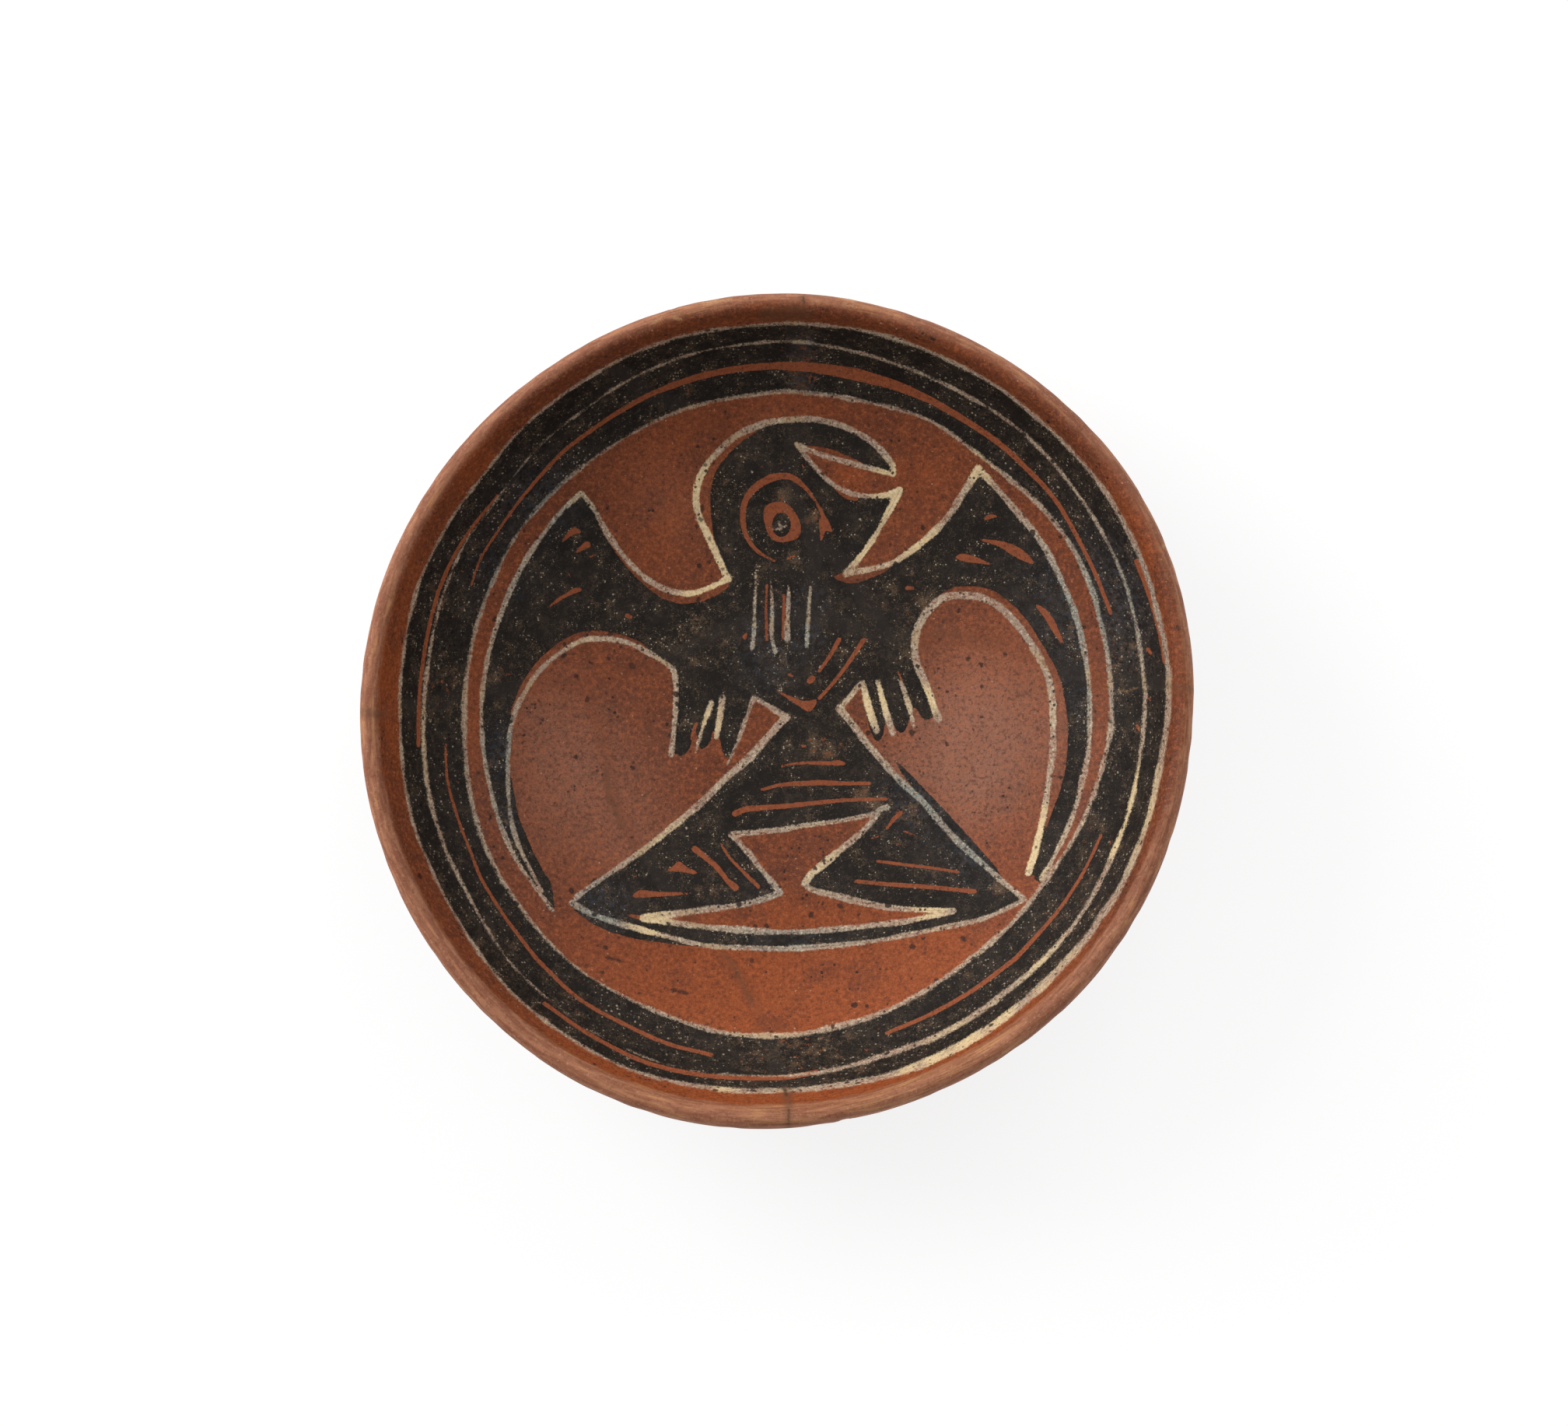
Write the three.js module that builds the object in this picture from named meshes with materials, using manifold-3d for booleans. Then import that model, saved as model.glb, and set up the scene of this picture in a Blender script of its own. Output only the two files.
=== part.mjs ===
// A shallow hand-built pottery plate that broke into six sherds and was mended with filler.
// It lies face up: +Z goes up through the open side, +Y points to the top of the painted face,
// and the origin is on the surface that the plate rests on, under the middle of its outline.
// All sizes are in millimetres.

import * as THREE from "three";
import { mergeVertices } from "three/addons/utils/BufferGeometryUtils.js";
import Module from "manifold-3d";

const wasm = await Module();
wasm.setup();

// Driving dimensions of the section, from the axis outwards
const RIM_RADIUS = 115.2; // mean radius, to the outer edge of the lip
const PLATE_HEIGHT = 48; // from the base to the crest of the lip
const FLOOR_THICKNESS = 6.5;
const BASE_RADIUS = 44; // the flat that the plate stands on
const LIP_WIDTH = 6; // from the inner edge of the lip to its outer edge
const LIP_DROP = 2.6; // from the crest down to the inner edge of the lip
const COLLAR_DROP = 5; // from the crest down to the point where the lip meets the outer wall
const COLLAR_INSET = 0.3; // the same point is this far inside the outer edge

// The handles of the section's curves, as [distance from the axis, height]
const OUTSIDE_HANDLES = [
  [74, 0],
  [104, 14.5],
];
const LIP_HANDLES = [
  [RIM_RADIUS + 0.4, PLATE_HEIGHT + 1],
  [RIM_RADIUS - 4.9, PLATE_HEIGHT + 1.3],
];
const INSIDE_HANDLES = [
  [99.5, 17],
  [80, FLOOR_THICKNESS],
];

// How finely the round form is faceted
const TURN_STEPS = 96;
const INSIDE_STEPS = 15;
const LIP_STEPS = 6;
const OUTSIDE_STEPS = 12;

// Unevenness of a plate made without a wheel. Each term is a wave that goes round the rim:
// how many bumps it has, how high they are and the bearing of the first, anticlockwise from +X.
// The waves fade towards the axis and the base with a power of the share of the way there.
const OUTLINE_WAVES = [
  { bumps: 2, height: 0.9, bearing: 46 },
  { bumps: 3, height: 0.2, bearing: 20 },
  { bumps: 5, height: 0.3, bearing: 29 },
  { bumps: 6, height: 0.16, bearing: 25 },
];
const CREST_WAVES = [
  { bumps: 2, height: 0.45, bearing: 110 },
  { bumps: 3, height: 0.25, bearing: 70 },
  { bumps: 7, height: 0.12, bearing: 15 },
];
const OUTLINE_FADE = 3;
const CREST_FADE = 2;

// Meeting points of the breaks, as [x, y] seen from above
const EYE = [2.5, 67];
const NECK = [9.5, 49.5];
const HUB = [8, 29];
const WING = [29.5, 23.5];
const FORK = [-55.5, 9.5];
const PAST_RIM = 124; // how far out a break goes, so that it leaves the plate

// The breaks, as stretches from one meeting point to the next or between one and the rim
const STRETCHES = {
  crown: [[7, PAST_RIM], [6, 107], [6.5, 98], [4, 87], EYE],
  face: [EYE, [3.5, 61.5], NECK],
  neck: [NECK, [8, 38], HUB],
  shoulder: [[-56.5, 110.5], [-46.5, 97], [-36.5, 90], [-26, 87], [-7, 76], [-3.5, 70.5], EYE],
  throat: [NECK, [13.5, 48], [25, 31.5], WING],
  left: [[-PAST_RIM, 0], [-109, -1], [-104.5, 2], [-99.5, 2], [-88.5, 7], [-62.5, 10.5], FORK],
  centre: [FORK, [-48, 12.5], [-31, 17.5], [-26, 21], [-10.5, 28], [-0.5, 27.5], HUB],
  breast: [HUB, [12, 29], [16, 28], [25, 24], WING],
  wing: [WING, [49, 22.5], [62.5, 20.5], [86.5, 10], [107, 6.5], [111.5, 4.5], [PAST_RIM, 4.5]],
  bottom: [
    FORK,
    [-49, -14.5],
    [-48.5, -21],
    [-40.5, -37],
    [-21.5, -62],
    [-9.5, -75.5],
    [-5.5, -85.5],
    [0.5, -101],
    [4, -110],
    [4.5, -PAST_RIM],
  ],
};

// Filler was pressed into the joins one after the other, so each strip stops at earlier ones.
const FILLERS = {
  top_join_fill: { along: ["crown", "face", "neck"], width: 3.4, stopsAt: [] },
  shoulder_join_fill: { along: ["shoulder"], width: 3, stopsAt: ["top_join_fill"] },
  left_join_fill: { along: ["left"], width: 2.6, stopsAt: [] },
  centre_join_fill: {
    along: ["centre"],
    width: 2.4,
    stopsAt: ["top_join_fill", "left_join_fill"],
  },
  right_join_fill: {
    along: ["breast", "wing"],
    width: 3,
    stopsAt: ["top_join_fill", "centre_join_fill"],
  },
  throat_join_fill: {
    along: ["throat"],
    width: 3.2,
    stopsAt: ["top_join_fill", "right_join_fill"],
  },
  bottom_join_fill: {
    along: ["bottom"],
    width: 2.4,
    stopsAt: ["left_join_fill", "centre_join_fill"],
  },
};

// The stretches of break that each sherd has round it, in order
const SHERDS = {
  upper_left_sherd: ["shoulder", "face", "neck", "centre", "left"],
  top_sherd: ["shoulder", "crown"],
  upper_right_sherd: ["crown", "face", "throat", "wing"],
  throat_sherd: ["neck", "breast", "throat"],
  lower_left_sherd: ["left", "bottom"],
  lower_right_sherd: ["bottom", "centre", "breast", "wing"],
};
const SEAT_GAP = 0.3; // between a sherd's broken edge and the filler beside it
const FILLER_RECESS = 0.4; // the filler stops this far above the surface the plate rests on

// Old knocks on the rim. Each is a scoop of one radius that bites into the outer edge.
const RIM_CHIPS = [
  { bearing: -80.3, bite: 1.3, scoop: 5.5 },
  { bearing: 104.3, bite: 0.7, scoop: 4 },
];
const SCOOP_DETAIL = 3;

// The upright blocks that divide the plate reach past it on every side.
const BLOCK_BELOW = 5;
const BLOCK_ABOVE = 10;
const BLOCK_OUT = 200;
const MERGE_DISTANCE = 0.0001; // vertices closer than this are one

// Where the lip meets the two walls, as [distance from the axis, height]
const lipInner = [RIM_RADIUS - LIP_WIDTH, PLATE_HEIGHT - LIP_DROP];
const lipOuter = [RIM_RADIUS - COLLAR_INSET, PLATE_HEIGHT - COLLAR_DROP];

function vec2([x, y]) {
  return new THREE.Vector2(x, y);
}

function bezier(...points) {
  return new THREE.CubicBezierCurve(...points.map(vec2));
}

// The wall swells outwards from the base and rises steeply to the lip.
function outsideCurve() {
  return bezier([BASE_RADIUS, 0], ...OUTSIDE_HANDLES, lipOuter);
}

// The lip is rounded, with a crest that is almost flat.
function lipCurve() {
  return bezier(lipOuter, ...LIP_HANDLES, lipInner);
}

// The floor is almost flat and turns up into the wall.
function insideCurve() {
  return bezier(lipInner, ...INSIDE_HANDLES, [0, FLOOR_THICKNESS]);
}

// The whole section, from the axis under the base, over the lip and back to the axis
function sectionPoints() {
  return [
    new THREE.Vector2(0, 0),
    ...outsideCurve().getPoints(OUTSIDE_STEPS),
    ...lipCurve().getPoints(LIP_STEPS).slice(1),
    ...insideCurve().getPoints(INSIDE_STEPS).slice(1),
  ];
}

function waveHeight(waves, angle) {
  return waves.reduce(
    (sum, w) =>
      sum + w.height * Math.cos(w.bumps * (angle - THREE.MathUtils.degToRad(w.bearing))),
    0,
  );
}

// Moves each vertex of a true turned form to where the potter's hands left it. The base stays
// flat and round, and the unevenness grows towards the rim. The outline is then centred again.
function handBuild(geometry) {
  const position = geometry.getAttribute("position");
  for (let i = 0; i < position.count; i++) {
    const x = position.getX(i);
    const y = position.getY(i);
    const z = position.getZ(i);
    const radius = Math.hypot(x, y);
    const angle = Math.atan2(y, x);
    const reach = (radius / RIM_RADIUS) ** OUTLINE_FADE;
    const rise = (z / PLATE_HEIGHT) ** CREST_FADE;
    const stretch = 1 + (reach * waveHeight(OUTLINE_WAVES, angle)) / RIM_RADIUS;
    position.setXYZ(i, x * stretch, y * stretch, z + rise * waveHeight(CREST_WAVES, angle));
  }
  geometry.computeBoundingBox();
  const middle = geometry.boundingBox.getCenter(new THREE.Vector3());
  return geometry.translate(-middle.x, -middle.y, 0);
}

function solidOf(geometry) {
  const bare = geometry.clone();
  bare.deleteAttribute("normal");
  bare.deleteAttribute("uv");
  const merged = mergeVertices(bare, MERGE_DISTANCE);
  return new wasm.Manifold(
    new wasm.Mesh({
      numProp: 3,
      vertProperties: merged.getAttribute("position").array,
      triVerts: new Uint32Array(merged.index.array),
    }),
  );
}

function geometryOf(solid) {
  const mesh = solid.getMesh();
  const geometry = new THREE.BufferGeometry();
  geometry.setAttribute("position", new THREE.BufferAttribute(mesh.vertProperties, 3));
  geometry.setIndex(new THREE.BufferAttribute(mesh.triVerts, 1));
  geometry.computeVertexNormals();
  return geometry;
}

// A cut can leave a crumb where two breaks meet, so only the main body is kept.
function largestBody(solid) {
  return solid
    .decompose()
    .reduce((best, body) => (body.volume() > best.volume() ? body : best));
}

// An upright block of the given outline, taller than the plate and reaching below it
function blockOver(outline, floor = -BLOCK_BELOW) {
  const shape = new THREE.Shape(outline.map(vec2));
  const depth = PLATE_HEIGHT + BLOCK_ABOVE - floor;
  const geometry = new THREE.ExtrudeGeometry(shape, { depth, bevelEnabled: false });
  return solidOf(geometry.translate(0, 0, floor));
}

// One side of a path, moved sideways by a distance. A corner is mitred.
function offsetSide(path, distance) {
  const points = path.map(vec2);
  return points.map((point, i) => {
    const before = point.clone().sub(points[Math.max(i - 1, 0)]).normalize();
    const after = points[Math.min(i + 1, points.length - 1)].clone().sub(point).normalize();
    const along = before.clone().add(after).normalize();
    const half = i > 0 && i < points.length - 1 ? along.dot(after) : 1;
    const reach = distance / half;
    return [point.x - along.y * reach, point.y + along.x * reach];
  });
}

// A path whose ends run on by a distance, so that strips that meet at a node overlap there
function extended(path, distance) {
  const runOn = (end, inner) => {
    const direction = vec2(end).sub(vec2(inner)).setLength(distance);
    return [end[0] + direction.x, end[1] + direction.y];
  };
  const last = path.length - 1;
  return [
    runOn(path[0], path[1]),
    ...path.slice(1, last),
    runOn(path[last], path[last - 1]),
  ];
}

// Stretches of break joined end to end. One that runs the other way is turned round.
function chained(names) {
  const [first, ...others] = names.map((name) => STRETCHES[name]);
  const turned = others.length > 0 && !others[0].includes(first.at(-1));
  const line = turned ? [...first].reverse() : [...first];
  for (const stretch of others) {
    const onward = stretch[0] === line.at(-1) ? stretch : [...stretch].reverse();
    line.push(...onward.slice(1));
  }
  return line;
}

// The plan of a sherd. One that reaches the rim is closed round the outside of the plate.
function sherdOutline(names) {
  const line = chained(names);
  const start = vec2(line[0]).setLength(BLOCK_OUT);
  const end = vec2(line.at(-1)).setLength(BLOCK_OUT);
  const between = start.clone().add(end).setLength(BLOCK_OUT);
  const closed = line[0] === line.at(-1);
  return closed ? line.slice(1) : [...line, end.toArray(), between.toArray(), start.toArray()];
}

// A filler strip's share of the plan, as an upright block. Growth widens it on both sides.
function stripBlock(name, growth = 0, floor = undefined) {
  const { along, width } = FILLERS[name];
  const line = extended(chained(along), width / 2);
  const half = width / 2 + growth;
  return blockOver([...offsetSide(line, half), ...offsetSide(line, -half).reverse()], floor);
}

// The plate as it was before it broke: a turned form, warped by hand and chipped at the rim
function wholePlate() {
  const turned = new THREE.LatheGeometry(sectionPoints(), TURN_STEPS);
  turned.rotateX(Math.PI / 2);
  const plate = solidOf(handBuild(turned));
  return RIM_CHIPS.reduce((left, chip) => left.subtract(chipScoop(chip)), plate);
}

function chipScoop({ bearing, bite, scoop }) {
  const angle = THREE.MathUtils.degToRad(bearing);
  const edge = RIM_RADIUS + waveHeight(OUTLINE_WAVES, angle);
  const distance = edge - bite + scoop;
  const ball = new THREE.IcosahedronGeometry(scoop, SCOOP_DETAIL);
  ball.translate(
    distance * Math.cos(angle),
    distance * Math.sin(angle),
    PLATE_HEIGHT - COLLAR_DROP / 2,
  );
  return solidOf(ball);
}

// A solid without the places that filler strips take up, with a seat gap beside each strip
function clearOf(names, solid) {
  return names.reduce((left, name) => left.subtract(stripBlock(name, SEAT_GAP)), solid);
}

function sherdSolid(plate, stretches) {
  const share = plate.intersect(blockOver(sherdOutline(stretches)));
  return largestBody(clearOf(Object.keys(FILLERS), share));
}

function fillerSolid(plate, name) {
  const strip = plate.intersect(stripBlock(name, 0, FILLER_RECESS));
  return largestBody(clearOf(FILLERS[name].stopsAt, strip));
}

// Burnished red slip over fired clay
function slippedClay() {
  return new THREE.MeshStandardMaterial({ color: 0x8a4024, roughness: 0.55, metalness: 0 });
}

// Matt filler, toned brown to blend with the slip
function tonedFiller() {
  return new THREE.MeshStandardMaterial({ color: 0x5a4338, roughness: 0.85, metalness: 0 });
}

function namedMesh(name, solid, material) {
  const mesh = new THREE.Mesh(geometryOf(solid), material);
  mesh.name = name;
  return mesh;
}

const plate = wholePlate();
const assembly = new THREE.Group();
for (const [name, stretches] of Object.entries(SHERDS)) {
  assembly.add(namedMesh(name, sherdSolid(plate, stretches), slippedClay()));
}
for (const name of Object.keys(FILLERS)) {
  assembly.add(namedMesh(name, fillerSolid(plate, name), tonedFiller()));
}

export default assembly;
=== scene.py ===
import math

import bpy
import numpy as np
from mathutils import Matrix, Vector


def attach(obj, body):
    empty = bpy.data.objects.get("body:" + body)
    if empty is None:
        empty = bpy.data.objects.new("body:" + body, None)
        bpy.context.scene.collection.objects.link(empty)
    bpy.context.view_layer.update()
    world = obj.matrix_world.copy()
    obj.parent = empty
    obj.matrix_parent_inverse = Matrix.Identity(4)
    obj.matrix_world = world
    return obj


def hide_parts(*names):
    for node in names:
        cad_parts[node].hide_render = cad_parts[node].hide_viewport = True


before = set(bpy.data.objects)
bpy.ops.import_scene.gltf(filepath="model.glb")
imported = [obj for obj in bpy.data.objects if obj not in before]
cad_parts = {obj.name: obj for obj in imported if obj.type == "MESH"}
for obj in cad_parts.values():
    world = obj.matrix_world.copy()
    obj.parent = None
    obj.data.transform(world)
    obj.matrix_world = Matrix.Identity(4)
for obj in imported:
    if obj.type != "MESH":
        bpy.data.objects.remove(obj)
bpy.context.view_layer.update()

# The plate's form, in mm
RIM_RADIUS = 115.2
PLATE_HEIGHT = 48.0
FLOOR_THICKNESS = 6.5
BASE_RADIUS = 44.0
LIP_INNER = (109.2, 45.4)
LIP_OUTER = (114.9, 43.0)
INSIDE_HANDLES = ((99.5, 17.0), (80.0, FLOOR_THICKNESS))
LIP_HANDLES = ((110.3, 49.3), (115.6, 49.0))
OUTSIDE_HANDLES = ((74.0, 0.0), (104.0, 14.5))
# (bumps round the rim, height, bearing of the first bump in degrees)
OUTLINE_WAVES = ((2, 0.9, 46), (3, 0.2, 20), (5, 0.3, 29), (6, 0.16, 25))
CREST_WAVES = ((2, 0.45, 110), (3, 0.25, 70), (7, 0.12, 15))
# (bearing in degrees, depth of the bite, radius of the scoop)
RIM_CHIPS = ((-80.3, 1.3, 5.5), (104.3, 0.7, 4.0))
CHIP_HEIGHT = PLATE_HEIGHT - 2.5
# Fine unevenness of the rim: (bumps round it, share)
RIM_DENTS = ((37, 0.5), (23, 0.7), (61, 0.3), (14, 0.8), (89, 0.25))
DENT_DEPTH = 0.14
DENT_LIMIT = 1.4
# Shares of the way from the middle to the rim: where dents start, and how far the base is flat
DENTS_FROM = 0.95
FLAT_BASE = 0.42
# How fast the dents set in, and how fast the swells fade towards the rim and the base
DENT_FADE = 25
SWELL_FADE = 9
# Soft rises and falls: (length in mm, height in mm, seed)
TOP_SWELLS = ((26, 0.22, 1), (9, 0.05, 2))
BASE_SWELLS = ((22, 0.3, 3), (8, 0.08, 4))
# The same along a break, without the seeds
BREAK_SWELLS = ((9.0, 0.16), (3.5, 0.1))
SWELL_WAVES = 14
SWELL_SPREAD = (0.7, 1.6)
# Close to the square root of the number of waves, so that a swell is about its height
SWELL_LEVEL = 3.7
# The frame's solids have flat facets, and this keeps the finely divided surface within their box.
SHRINK = np.array((0.999, 0.999, 0.998))
RINGS = 208
METRES = 0.001

# Meeting points of the breaks, and the breaks between them, in mm as seen from above
EYE = (2.5, 67)
NECK = (9.5, 49.5)
HUB = (8, 29)
WING = (29.5, 23.5)
FORK = (-55.5, 9.5)
STRETCHES = {
    "crown": [(7, 124), (6, 107), (6.5, 98), (4, 87), EYE],
    "face": [EYE, (3.5, 61.5), NECK],
    "neck": [NECK, (8, 38), HUB],
    "shoulder": [(-56.5, 110.5), (-46.5, 97), (-36.5, 90), (-26, 87), (-7, 76), (-3.5, 70.5), EYE],
    "throat": [NECK, (13.5, 48), (25, 31.5), WING],
    "left": [(-124, 0), (-109, -1), (-104.5, 2), (-99.5, 2), (-88.5, 7), (-62.5, 10.5), FORK],
    "centre": [FORK, (-48, 12.5), (-31, 17.5), (-26, 21), (-10.5, 28), (-0.5, 27.5), HUB],
    "breast": [HUB, (12, 29), (16, 28), (25, 24), WING],
    "wing": [WING, (49, 22.5), (62.5, 20.5), (86.5, 10), (107, 6.5), (111.5, 4.5), (124, 4.5)],
    "bottom": [
        FORK, (-49, -14.5), (-48.5, -21), (-40.5, -37), (-21.5, -62), (-9.5, -75.5),
        (-5.5, -85.5), (0.5, -101), (4, -110), (4.5, -124),
    ],
}
# Filler strips in the order in which they were filled: a later one stops at an earlier one
FILLS = [
    ("top_join_fill", ("crown", "face", "neck"), 3.4),
    ("shoulder_join_fill", ("shoulder",), 3.0),
    ("left_join_fill", ("left",), 2.6),
    ("centre_join_fill", ("centre",), 2.4),
    ("right_join_fill", ("breast", "wing"), 3.0),
    ("throat_join_fill", ("throat",), 3.2),
    ("bottom_join_fill", ("bottom",), 2.4),
]
# Each sherd with the breaks that it has round it
SHERDS = [
    ("upper_left_sherd", ("shoulder", "face", "neck", "centre", "left")),
    ("top_sherd", ("shoulder", "crown")),
    ("upper_right_sherd", ("crown", "face", "throat", "wing")),
    ("throat_sherd", ("neck", "breast", "throat")),
    ("lower_left_sherd", ("left", "bottom")),
    ("lower_right_sherd", ("bottom", "centre", "breast", "wing")),
]
PIECES = [name for name, *_ in FILLS + SHERDS]
PAST_PLATE = 200.0

# The camera, and the frame of the photograph in px
FRAME_WIDTH, FRAME_HEIGHT = 2016, 1833
LENS, SENSOR = 100.0, 36.0
CLIP = (0.05, 30)
FOCAL_PX = LENS / SENSOR * FRAME_WIDTH
DISTANCE = 1195.0
SEEN_FROM_RIGHT = 3.4
SEEN_FROM_BELOW = 4.6
AIM = np.array((2.6, -1.4, 45.0))
MM_PER_PX = 0.217


def camera_axes():
    """Where the camera stands, in mm, and its right, up and forward directions."""
    across = math.tan(math.radians(SEEN_FROM_RIGHT))
    down = math.tan(math.radians(SEEN_FROM_BELOW))
    back = np.array((across, -down, 1.0))
    back /= np.linalg.norm(back)
    place = AIM + DISTANCE * back
    right = np.cross((0.0, 1.0, 0.0), back)
    right /= np.linalg.norm(right)
    up = np.cross(back, right)
    return place, right, up, -back


def photo_px(points):
    """Where points in mm fall in the photograph, in px from its upper left corner."""
    place, right, up, forward = camera_axes()
    seen = points - place
    depth = seen @ forward
    across = FRAME_WIDTH / 2 + FOCAL_PX * (seen @ right) / depth
    down = FRAME_HEIGHT / 2 - FOCAL_PX * (seen @ up) / depth
    return np.stack((across, down), axis=1)


# The painting, drawn in px of the photograph, begins with the three pale rings.
RING_CENTRE = np.array((1000, 910))
RING_OUTER = [
    (1000, 416), (1054, 418), (1125, 428), (1200, 454), (1269, 489), (1320, 526), (1374, 576),
    (1421, 632), (1455, 693), (1476, 743), (1490, 796), (1501, 850), (1502, 910), (1494, 971),
    (1477, 1050), (1449, 1122), (1411, 1186), (1361, 1247), (1290, 1309), (1216, 1354),
    (1144, 1382), (1071, 1396), (1000, 1402), (940, 1401), (870, 1391), (820, 1378), (779, 1361),
    (726, 1330), (661, 1279), (619, 1229), (582, 1171), (553, 1114), (532, 1061), (518, 989),
    (514, 900), (519, 839), (530, 779), (547, 729), (582, 664), (617, 617), (672, 550),
    (742, 495), (820, 452), (897, 428),
]
RING_MIDDLE = [
    (1000, 439), (1071, 446), (1143, 465), (1221, 497), (1287, 535), (1339, 579), (1383, 632),
    (1419, 688), (1444, 743), (1461, 804), (1470, 868), (1472, 910), (1466, 971), (1453, 1037),
    (1425, 1111), (1393, 1171), (1346, 1229), (1287, 1280), (1217, 1326), (1145, 1354),
    (1072, 1375), (1000, 1383), (904, 1378), (833, 1360), (761, 1325), (711, 1289), (661, 1243),
    (626, 1193), (594, 1136), (571, 1087), (553, 1028), (545, 964), (545, 905), (551, 850),
    (560, 800), (575, 750), (597, 700), (631, 653), (674, 595), (713, 556), (761, 520),
    (811, 487), (897, 453),
]
RING_INNER = [
    (1000, 504), (1050, 506), (1100, 514), (1150, 525), (1200, 543), (1250, 578), (1293, 612),
    (1337, 650), (1376, 700), (1401, 750), (1414, 796), (1425, 850), (1429, 910), (1427, 943),
    (1411, 1007), (1388, 1064), (1357, 1114), (1324, 1159), (1296, 1192), (1251, 1230),
    (1201, 1266), (1145, 1297), (1090, 1316), (1036, 1328), (1000, 1331), (940, 1329),
    (886, 1316), (815, 1287), (747, 1248), (697, 1201), (655, 1146), (629, 1100), (611, 1050),
    (600, 989), (597, 905), (603, 850), (614, 800), (637, 740), (665, 687), (708, 636),
    (760, 592), (833, 546), (904, 519),
]

# (bearing anticlockwise from the right in degrees, width in px) round each ring
OUTER_WIDTHS = (
    (0, 9), (25, 8), (50, 6), (75, 5.5), (100, 5), (130, 4), (150, 4), (180, 5.5), (215, 4.5),
    (245, 5), (265, 8), (280, 8), (292, 12), (305, 12), (325, 10), (345, 9),
)
MIDDLE_WIDTHS = (
    (0, 6), (20, 5.5), (45, 5), (62, 5.5), (85, 5.5), (100, 3.5), (135, 2.5), (165, 4), (180, 7),
    (205, 6), (222, 3), (240, 1.5), (262, 1.5), (272, 4.5), (284, 7), (300, 9), (330, 7),
)
INNER_WIDTHS = (
    (0, 8), (30, 7), (60, 6), (90, 7), (115, 5), (150, 5.5), (180, 8), (215, 6), (240, 4), (255, 7.5),
    (270, 8.5), (300, 8), (325, 7), (345, 7),
)
RINGS_AND_WIDTHS = (
    (RING_OUTER, OUTER_WIDTHS), (RING_MIDDLE, MIDDLE_WIDTHS), (RING_INNER, INNER_WIDTHS),
)

# The figure's outline, in stretches that meet at corners
LEFT_WING_TOP = [
    (748, 634), (764, 655), (785, 692), (810, 724), (838, 749), (870, 762), (897, 761), (936, 744),
]
HEAD = [
    (936, 744), (928, 727), (913, 694), (899, 664), (895, 636), (901, 611), (918, 586),
    (946, 561), (975, 547), (1000, 541), (1046, 539), (1089, 550), (1125, 571), (1147, 597),
    (1149, 610),
]
MOUTH_TOP = [(1149, 610), (1107, 599), (1054, 584), (1024, 571)]
MOUTH_LOW = [(1024, 571), (1045, 597), (1070, 622), (1100, 636), (1137, 637), (1157, 630)]
THROAT = [(1157, 630), (1143, 657), (1118, 700), (1087, 738)]
RIGHT_WING_TOP = [(1087, 738), (1143, 725), (1180, 702), (1214, 670), (1242, 629), (1258, 602)]
RIGHT_WING_OUTER = [
    (1258, 602), (1284, 631), (1305, 655), (1339, 697), (1362, 740), (1382, 788), (1393, 832),
    (1400, 880), (1400, 960), (1390, 1010), (1377, 1055), (1356, 1100), (1339, 1130),
]
RIGHT_ARMPIT = [
    (1206, 923), (1192, 885), (1178, 850), (1177, 821), (1187, 794), (1207, 772), (1229, 765),
    (1264, 769), (1293, 787), (1319, 818), (1344, 861), (1352, 890), (1354, 954), (1349, 1000),
    (1341, 1050), (1332, 1090), (1322, 1122),
]
RIGHT_PALM = [(1080, 911), (1107, 878)]
RIGHT_LEG_OUTER = [
    (1080, 911), (1121, 963), (1160, 1006), (1187, 1031), (1224, 1074), (1260, 1107),
    (1288, 1132), (1318, 1156),
]
HEM = [
    (1318, 1156), (1290, 1170), (1260, 1182), (1214, 1192), (1160, 1203), (1107, 1212),
    (1021, 1219), (946, 1218), (904, 1215), (851, 1202), (797, 1187), (761, 1175), (734, 1160),
]
LEFT_LEG_OUTER = [
    (734, 1160), (747, 1148), (794, 1116), (832, 1089), (868, 1060), (902, 1031), (936, 998),
    (963, 974), (992, 942), (1011, 922),
]
LEFT_PALM = [(1011, 922), (987, 907), (969, 897)]
LEFT_THUMB = [(969, 897), (957, 930), (947, 957), (935, 983)]
LEFT_ARMPIT = [
    (863, 970), (867, 930), (869, 885), (866, 862), (852, 850), (834, 839), (808, 826),
    (776, 821), (747, 824), (719, 840), (691, 865), (673, 894), (663, 913), (655, 946),
    (653, 1000), (657, 1054), (669, 1092), (684, 1121), (696, 1146),
]
LEFT_WING_OUTER = [
    (711, 1170), (690, 1143), (661, 1100), (641, 1052), (628, 1003), (621, 960), (619, 905),
    (626, 850), (641, 798), (662, 746), (690, 698), (725, 654), (748, 634),
]
# Lower edges of the dark fingers
RIGHT_FINGERS = [
    (1206, 923), (1200, 921), (1193, 926), (1185, 922), (1176, 909), (1173, 912), (1168, 929),
    (1161, 942), (1152, 938), (1146, 926), (1138, 930), (1135, 945), (1129, 953), (1123, 949),
    (1118, 935), (1112, 910), (1107, 878),
]
LEFT_FINGERS = [
    (947, 957), (940, 972), (933, 973), (928, 962), (924, 946), (917, 940), (913, 953),
    (905, 963), (899, 961), (894, 938), (890, 951), (884, 966), (875, 972), (868, 968), (863, 970),
]

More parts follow.
